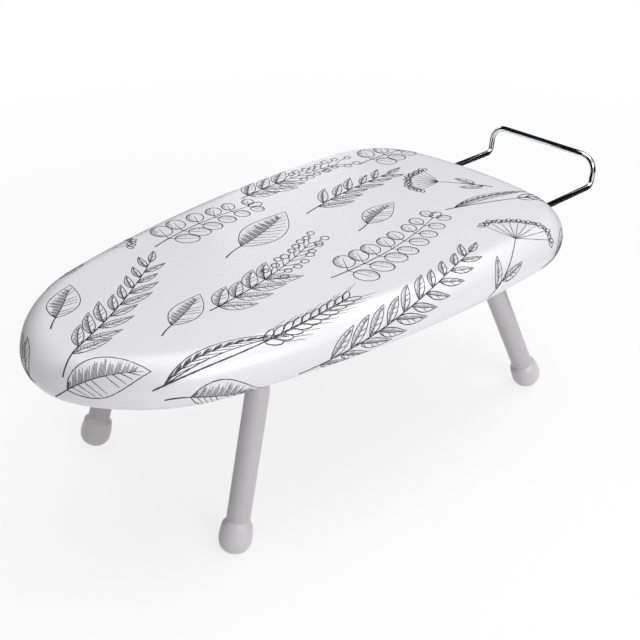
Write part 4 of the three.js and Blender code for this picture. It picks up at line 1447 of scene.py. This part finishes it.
class MakeLegs(bpy.types.Operator):
    """Models the two bent tube frames with their stop lugs and feet"""

    bl_idname = "ironing_board.make_legs"
    bl_label = "Legs and feet"

    LUG_WIDTH = 0.03
    LUG_THICKNESS = 0.004
    LUG_ROOT = 0.004
    LUG_EASE = 0.0008
    TUBE_SIDES = 40
    BEND_STEPS = 18
    FOOT_SIDES = 64
    FOOT_EASE = 0.002
    FOOT_LIP = 0.00004
    SOLE_STEPS = 12
    SIDE_STEPS = 10
    ROUGHNESS = 0.36

    def lug(self, leg, end):
        """A stop lug, welded upright on the cross tube, that meets the rail when the frame is open."""
        radius = settings().legs.tube / 2
        middle = leg.pivot.x - leg.lean * (radius - self.LUG_THICKNESS / 2)
        half = Vector((self.LUG_THICKNESS / 2, self.LUG_WIDTH / 2, 0))
        low = Vector((middle, 0, leg.pivot.z + self.LUG_ROOT)) - half
        high = Vector((middle, 0, rail_seat(end))) + half
        return bevelled_box("lug", low, high, self.LUG_EASE)

    def foot(self):
        """A moulded cap: rounded sole, swollen side, sloping collar and a blind socket."""
        legs = settings().legs
        radius = legs.foot / 2
        bottom = legs.foot_bottom
        waist = legs.foot_waist
        collar = legs.foot_collar
        socket = legs.tube / 2 + GAP
        ease = self.FOOT_EASE
        profile = [(0, 0)]
        for out, up in arc_points((0, 1), 1, -90, 0, self.SOLE_STEPS):
            profile.append((radius - bottom + bottom * out, waist * up))
        for step in range(1, self.SIDE_STEPS + 1):
            share = step / self.SIDE_STEPS
            swell = (radius - collar) * math.cos(math.pi / 2 * share)
            profile.append((collar + swell, waist + (legs.foot_shoulder - waist) * share))
        profile += arc_points((collar - ease, legs.foot_shoulder), ease, 10, 50, steps=4)
        profile.append((legs.tube / 2 + self.FOOT_LIP, legs.foot_height))
        profile.append((socket, legs.foot_height - ease))
        profile.append((socket, legs.foot_base))
        profile.append((0, legs.foot_base))
        return turned("foot", profile, self.FOOT_SIDES)

    def execute(self, context):
        board = settings()
        legs = board.legs
        coat = powder_coat_finish("tube_coat", board.colours.tube, self.ROUGHNESS)
        plastic = foot_finish(board.colours.foot)
        foot = self.foot()
        for end in ENDS:
            leg = LegFrame(end)
            name = f"{end}_tube"
            bends = [legs.bend, legs.bend]
            corners = leg.tube_corners()
            tube = bent_rod(name, corners, bends, legs.tube / 2, self.TUBE_SIDES, self.BEND_STEPS)
            tube = joined(name, [tube, self.lug(leg, end)])
            dress(tube, f"{end}_leg", "coated_tube", coat, f"{end}_leg_tube")
            for hand, sign in HANDS.items():
                copy = copy_of(foot, f"{end}_foot_{hand}", leg.foot_place(sign))
                with editing(copy):
                    bpy.ops.mesh.bisect(
                        plane_co=(0, 0, 0), plane_no=(0, 0, 1), use_fill=True, clear_inner=True
                    )
                dress(copy, f"{end}_leg", "foot_plastic", plastic, f"{end}_leg_foot_{hand}")
        bpy.data.objects.remove(foot)
        return {"FINISHED"}


class MakeHinges(bpy.types.Operator):
    """Models the saddles, bushes, packing blocks and screws"""

    bl_idname = "ironing_board.make_hinges"
    bl_label = "Hinges and screws"

    BUSH_EASE = 0.0005
    BUSH_SIDES = 48
    STRAP_STEPS = 20
    STRAP_BEND = 0.0016
    STRAP_EASE = 0.0003
    SHARP = 1.0
    BLOCK_EASE = 0.0006
    SEAT_SIDES = 64
    SCREW_SIDES = 28
    SCREW_TIP = 0.0004
    DOME_STEPS = 8
    DOME_SHARE = 0.9
    SLOT_TURNS = (0.4, 0.4 + math.pi / 2)
    # Shares of the head's diameter, twice, and of its height
    SLOT = (0.62, 0.13, 1.1)

    def bush(self, name, centre):
        """A bush with eased edges, turned along Y."""
        sizes = settings().hinges
        bore = settings().legs.tube / 2 + GAP
        half = sizes.bush_width / 2
        bush = eased_tube(name, bore, sizes.bush, -half, half, self.BUSH_EASE, self.BUSH_SIDES)
        move_into_place(bush, Matrix.Translation(centre) @ Matrix.Rotation(math.pi / 2, 4, "X"))
        return bush

    def saddle(self, name, centre, rise):
        """A strap bent round the bush: an edge extruded and spun, then given its thickness."""
        sizes = settings().hinges
        outer = sizes.bush + GAP + sizes.strap
        under = rise - sizes.strap
        strap = add_primitive(name, bpy.ops.mesh.primitive_plane_add, size=sizes.strap_width)
        with editing(strap) as mesh:
            for vertex in mesh.verts:
                vertex.co = (-outer - sizes.flange, vertex.co.y, under)
            bpy.ops.mesh.remove_doubles(threshold=SAME_PLACE)
            extrude_edges((sizes.flange, 0, 0))
            extrude_edges((0, 0, -under))
            bpy.ops.mesh.spin(steps=self.STRAP_STEPS, angle=math.pi, center=(0, 0, 0), axis=(0, 1, 0))
            extrude_edges((0, 0, under))
            extrude_edges((sizes.flange, 0, 0))
            face_down(strap)
        soften(strap, self.STRAP_BEND, 4, angle_limit=self.SHARP)
        thicken(strap, sizes.strap)
        soften(strap, self.STRAP_EASE, 2, angle_limit=self.SHARP)
        move_into_place(strap, Matrix.Translation(centre))
        return strap

    def packing_block(self, name, centre, rise):
        """A block between the bush and the rail, hollowed to sit on the bush."""
        sizes = settings().hinges
        half = Vector((sizes.bush, sizes.strap_width / 2, 0))
        high = centre + half + Vector((0, 0, rise))
        block = bevelled_box(name, centre - half, high, self.BLOCK_EASE)
        length = 4 * sizes.strap_width
        seat = drill(sizes.bush + GAP, length, centre, (math.pi / 2, 0, 0), self.SEAT_SIDES)
        cut_out(block, [seat])
        return block

    def screw(self, node):
        """A pan-head screw, head down, with a cross recess, in the place of a packed one."""
        sizes = settings().hinges
        low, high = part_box(node)
        head = sizes.screw_head
        height = sizes.screw_head_height
        shank = sizes.screw / 2
        length = high.z - low.z
        profile = [(0, 0)]
        for step in range(1, self.DOME_STEPS + 1):
            angle = math.pi / 2 * step / self.DOME_STEPS
            rise = height * self.DOME_SHARE * (1 - math.cos(angle))
            profile.append((head / 2 * math.sin(angle), rise))
        profile.append((head / 2, height))
        profile.append((shank, height))
        profile.append((shank, length - self.SCREW_TIP))
        profile.append((shank - self.SCREW_TIP, length))
        profile.append((0, length))
        screw = turned(f"{node}_pan", profile, self.SCREW_SIDES)
        long, wide, deep = self.SLOT
        scale = (head * long, head * wide, height * deep)
        cube = bpy.ops.mesh.primitive_cube_add
        for turn in self.SLOT_TURNS:
            cut_out(screw, [add_primitive("slot", cube, size=1, scale=scale, rotation=(0, 0, turn))])
        move_into_place(screw, Matrix.Translation(((low.x + high.x) / 2, (low.y + high.y) / 2, low.z)))
        return screw

    def execute(self, context):
        colours = settings().colours
        zinc = zinc_finish(colours.zinc)
        nylon = nylon_finish(colours.nylon)
        for end in ENDS:
            pivot = LegFrame(end).pivot
            rise = rail_seat(end) - pivot.z
            for hand in HANDS:
                name = f"{end}_hinge_{hand}"
                low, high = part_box(f"{name}_bush")
                centre = Vector((pivot.x, (low.y + high.y) / 2, pivot.z))
                dress(self.bush(f"{name}_ring", centre), "board", "nylon", nylon, f"{name}_bush")
                strap = self.saddle(f"{name}_strap", centre, rise)
                dress(strap, "board", "zinc_steel", zinc, f"{name}_saddle")
                if end == "rear":
                    block = self.packing_block(f"{name}_spacer", centre, rise)
                    dress(block, "board", "nylon", nylon, f"{name}_packing_block")
        for node, packed in frame["nodes"].items():
            if node.endswith("_screw"):
                dress(self.screw(node), "board", "zinc_steel", zinc, node)
            if node.endswith("_nut"):
                paint(packed, zinc)
        return {"FINISHED"}


class MakeRest(bpy.types.Operator):
    """Models the wire rest with its caps, guides and sleeves"""

    bl_idname = "ironing_board.make_rest"
    bl_label = "Iron rest"

    WIRE_SIDES = 32
    BEND_STEPS = 16
    CAP_END = 0.002
    CAP_ROUND = 0.0014
    EASE = 0.0004
    GUIDE_EASE = 0.0008
    BORE_LENGTH = 0.05

    def wire(self):
        """One bent wire: arm, upright, top bar, upright and arm."""
        rest = settings().rest
        side = rest.span / 2
        height = arm_height()
        foot = cover_high.x + rest.reach
        top = foot + rest.rise * math.tan(rest.lean)
        half = [
            Vector((wire_low.x, side, height)),
            Vector((foot, side, height)),
            Vector((top, side, height + rest.rise)),
        ]
        corners = half + [Vector((point.x, -point.y, point.z)) for point in reversed(half)]
        bends = [rest.foot_bend, rest.corner_bend, rest.corner_bend, rest.foot_bend]
        return bent_rod("bent_wire", corners, bends, rest.wire / 2, self.WIRE_SIDES, self.BEND_STEPS)

    def bore(self):
        return settings().rest.wire / 2 + GAP

    def lying(self, piece, node):
        """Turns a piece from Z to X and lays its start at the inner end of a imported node."""
        low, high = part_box(node)
        start = Vector((low.x, (low.y + high.y) / 2, (low.z + high.z) / 2))
        move_into_place(piece, Matrix.Translation(start) @ Matrix.Rotation(math.pi / 2, 4, "Y"))
        return piece

    def cap(self, node):
        low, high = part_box(node)
        radius = (high.z - low.z) / 2
        length = high.x - low.x
        profile = [(0, 0)]
        profile += arc_points((radius - self.CAP_ROUND, self.CAP_ROUND), self.CAP_ROUND, -90, 0, steps=5)
        profile.append((radius, length - self.EASE))
        profile.append((radius - self.EASE, length))
        profile.append((self.bore(), length))
        profile.append((self.bore(), self.CAP_END))
        profile.append((0, self.CAP_END))
        return self.lying(turned(f"{node}_cup", profile, self.WIRE_SIDES), node)

    def sleeve(self, node):
        low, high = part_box(node)
        radius = (high.z - low.z) / 2
        length = high.x - low.x
        tube = eased_tube(f"{node}_tube", self.bore(), radius, 0, length, self.EASE, self.WIRE_SIDES)
        return self.lying(tube, node)

    def guide(self, node):
        """A block with eased edges, bored for the arm."""
        low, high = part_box(node)
        block = bevelled_box(f"{node}_block", low, high, self.GUIDE_EASE)
        centre = ((low.x + high.x) / 2, (low.y + high.y) / 2, arm_height())
        cut_out(block, [drill(self.bore(), self.BORE_LENGTH, centre, (0, math.pi / 2, 0))])
        return block

    def execute(self, context):
        colours = settings().colours
        nylon = nylon_finish(colours.nylon)
        black = cap_finish(colours.cap)
        dress(self.wire(), "iron_rest", "chrome_wire", chrome_finish(colours.chrome), "rest_wire")
        for hand in HANDS:
            cap = f"rest_cap_{hand}"
            guide = f"rest_guide_{hand}"
            sleeve = f"rest_sleeve_{hand}"
            dress(self.cap(cap), "iron_rest", "black_plastic", black, cap)
            dress(self.guide(guide), "board", "nylon", nylon, guide)
            dress(self.sleeve(sleeve), "board", "nylon", nylon, sleeve)
        return {"FINISHED"}


class MakeStage(bpy.types.Operator):
    """Sets up the floor, the light and the camera"""

    bl_idname = "ironing_board.make_stage"
    bl_label = "Stage"

    TARGET = Vector((-0.014, 0.00684, 0.104))
    FLOOR_SIZE = 16
    FLOOR_GLOW = 0.8
    WHITE_RANGE = (0.5, 1.3)
    AMBIENT = 0.16
    CARD_BLACK = (0.01, 0.01, 0.01, 1)
    LAMP_DISTANCE = 2
    # Direction, width, height and power of each lamp
    LAMPS = {
        "front_lamp": ((-0.15, -0.85, 0.5), 1.2, 0.9, 20),
        "top_lamp": ((0.1, 0.1, 1), 2.6, 2, 27),
        "edge_lamp": ((0.6, -0.12, 0.8), 1.2, 0.9, 8),
        "back_lamp": ((0.2, 0.85, 0.5), 1.2, 0.9, 2),
    }
    # Centre, facing direction, width and height of each black card
    FLAGS = {
        "flag_tail": ((0.78, 0, 0.5), (-1, 0, 0), 1.5, 0.95),
        "flag_far": ((0.22, 0.45, 0.8), (0, -1, 0), 1.6, 0.66),
        "flag_left": ((-0.19, 0.45, 0.25), (0, -1, 0), 0.78, 0.44),
        "flag_nose": ((-1, -0.6, 0.95), (1, 0, 0), 1.7, 1.5),
        "flag_low": ((0.64, -0.05, 0.002), (0, 0, 1), 0.34, 0.86),
        "flag_front": ((0.6, -0.8, 0.225), (0, 1, 0), 1.1, 0.45),
        "flag_end": ((0.25, -0.065, 0.1625), (1, 0, 0), 0.19, 0.145),
    }

    def aimed(self, name, data, direction, distance):
        """A camera or a lamp that stands off in a direction and looks at the target."""
        thing = bpy.data.objects.new(name, data)
        thing.location = self.TARGET + direction * distance
        thing.rotation_euler = facing(direction).to_euler()
        bpy.context.collection.objects.link(thing)
        return thing

    def camera(self, stage):
        level = math.cos(stage.elevation)
        x = math.sin(stage.azimuth) * level
        y = -math.cos(stage.azimuth) * level
        data = bpy.data.cameras.new("camera")
        data.sensor_fit = "HORIZONTAL"
        data.angle = stage.view
        back = Vector((x, y, math.sin(stage.elevation)))
        bpy.context.scene.camera = self.aimed("camera", data, back, stage.distance)

    def lamp(self, name, direction, width, height, power):
        data = bpy.data.lights.new(name, "AREA")
        data.shape = "RECTANGLE"
        data.size = width
        data.size_y = height
        data.energy = power
        self.aimed(name, data, Vector(direction).normalized(), self.LAMP_DISTANCE)

    def world(self):
        world = bpy.data.worlds.new("studio")
        world.use_nodes = True
        wiring = Wiring(world.node_tree)
        room = wiring.node("ShaderNodeBackground", inputs={"Color": WHITE, "Strength": self.AMBIENT})
        white = wiring.node("ShaderNodeBackground", inputs={"Color": WHITE, "Strength": 1})
        sky = wiring.mixed_shaders(wiring.seen_directly(), room, white)
        wiring.feed(wiring.tree.nodes["World Output"].inputs["Surface"], sky)
        bpy.context.scene.world = world

    def floor(self, colour):
        """Paper that keeps the shadow under the board, runs out to white and is clear from below."""
        floor = add_primitive("floor", bpy.ops.mesh.primitive_plane_add, size=self.FLOOR_SIZE)
        finish = Finish("floor_paper", roughness=0.9, specular_ior_level=0.1, base_color=(*colour, 1))
        length = {"operation": "LENGTH"}
        distance = finish.node("ShaderNodeVectorMath", length, {0: finish.place()}, output="Value")
        far = finish.ramp(distance, *self.WHITE_RANGE)
        share = finish.seen_directly() * (self.FLOOR_GLOW + (1 - self.FLOOR_GLOW) * far)
        paper = Value(finish, finish.shader.outputs[0])
        lit = finish.mixed_shaders(share, paper, finish.node("ShaderNodeEmission"))
        below = finish.node("ShaderNodeNewGeometry", output="Backfacing")
        clear = finish.node("ShaderNodeBsdfTransparent")
        surface = finish.mixed_shaders(below, lit, clear)
        finish.feed(finish.tree.nodes["Material Output"].inputs["Surface"], surface)
        paint(floor, finish.material)

    def flag(self, name, centre, direction, width, height):
        """A black card that only mirrors see, as a studio puts beside chrome."""
        card = add_primitive(name, bpy.ops.mesh.primitive_plane_add, size=1)
        turn = facing(direction)
        move_into_place(card, Matrix.Translation(centre) @ turn @ Matrix.Diagonal((width, height, 1, 1)))
        finish = Finish(name, roughness=0.9, specular_ior_level=0.0, base_color=self.CARD_BLACK)
        paint(card, finish.material)
        card.visible_camera = False
        card.visible_diffuse = False
        card.visible_transmission = False
        card.visible_shadow = False

    def execute(self, context):
        board = settings()
        context.scene.view_settings.view_transform = "Standard"
        self.camera(board.stage)
        self.world()
        self.floor(board.colours.floor)
        for name, lamp in self.LAMPS.items():
            self.lamp(name, *lamp)
        for name, flag in self.FLAGS.items():
            self.flag(name, *flag)
        return {"FINISHED"}


class BoardPanel(bpy.types.Panel):
    """Lists the pieces of the ironing board and their settings"""

    bl_idname = "VIEW3D_PT_ironing_board"
    bl_label = "Ironing board"
    bl_space_type = "VIEW_3D"
    bl_region_type = "UI"
    bl_category = "Ironing board"

    def draw(self, context):
        for operator in OPERATORS:
            self.layout.operator(operator.bl_idname)
        for group_name in IroningBoard.__annotations__:
            group = getattr(settings(), group_name)
            box = self.layout.box()
            for name in group.__annotations__:
                box.prop(group, name)


GROUPS = [BoardSizes, LegSizes, HingeSizes, RestSizes, BoardColours, StageSettings, IroningBoard]
OPERATORS = [
    MakeStage, MakeCover, MakePrint, MakeStitching, MakePad, MakeDeck, MakeLegs, MakeHinges, MakeRest
]
CLASSES = [*GROUPS, *OPERATORS, BoardPanel]


def register():
    for item in CLASSES:
        bpy.utils.register_class(item)
    bpy.types.Scene.ironing_board = PointerProperty(type=IroningBoard)


def unregister():
    del bpy.types.Scene.ironing_board
    for item in reversed(CLASSES):
        bpy.utils.unregister_class(item)


def main():
    register()
    bpy.ops.object.select_all(action="DESELECT")
    bpy.ops.ironing_board.make_stage()
    bpy.ops.ironing_board.make_cover()
    bpy.ops.ironing_board.make_print()
    bpy.ops.ironing_board.make_stitching()
    bpy.ops.ironing_board.make_pad()
    bpy.ops.ironing_board.make_deck()
    bpy.ops.ironing_board.make_legs()
    bpy.ops.ironing_board.make_hinges()
    bpy.ops.ironing_board.make_rest()


if __name__ == "__main__":
    main()
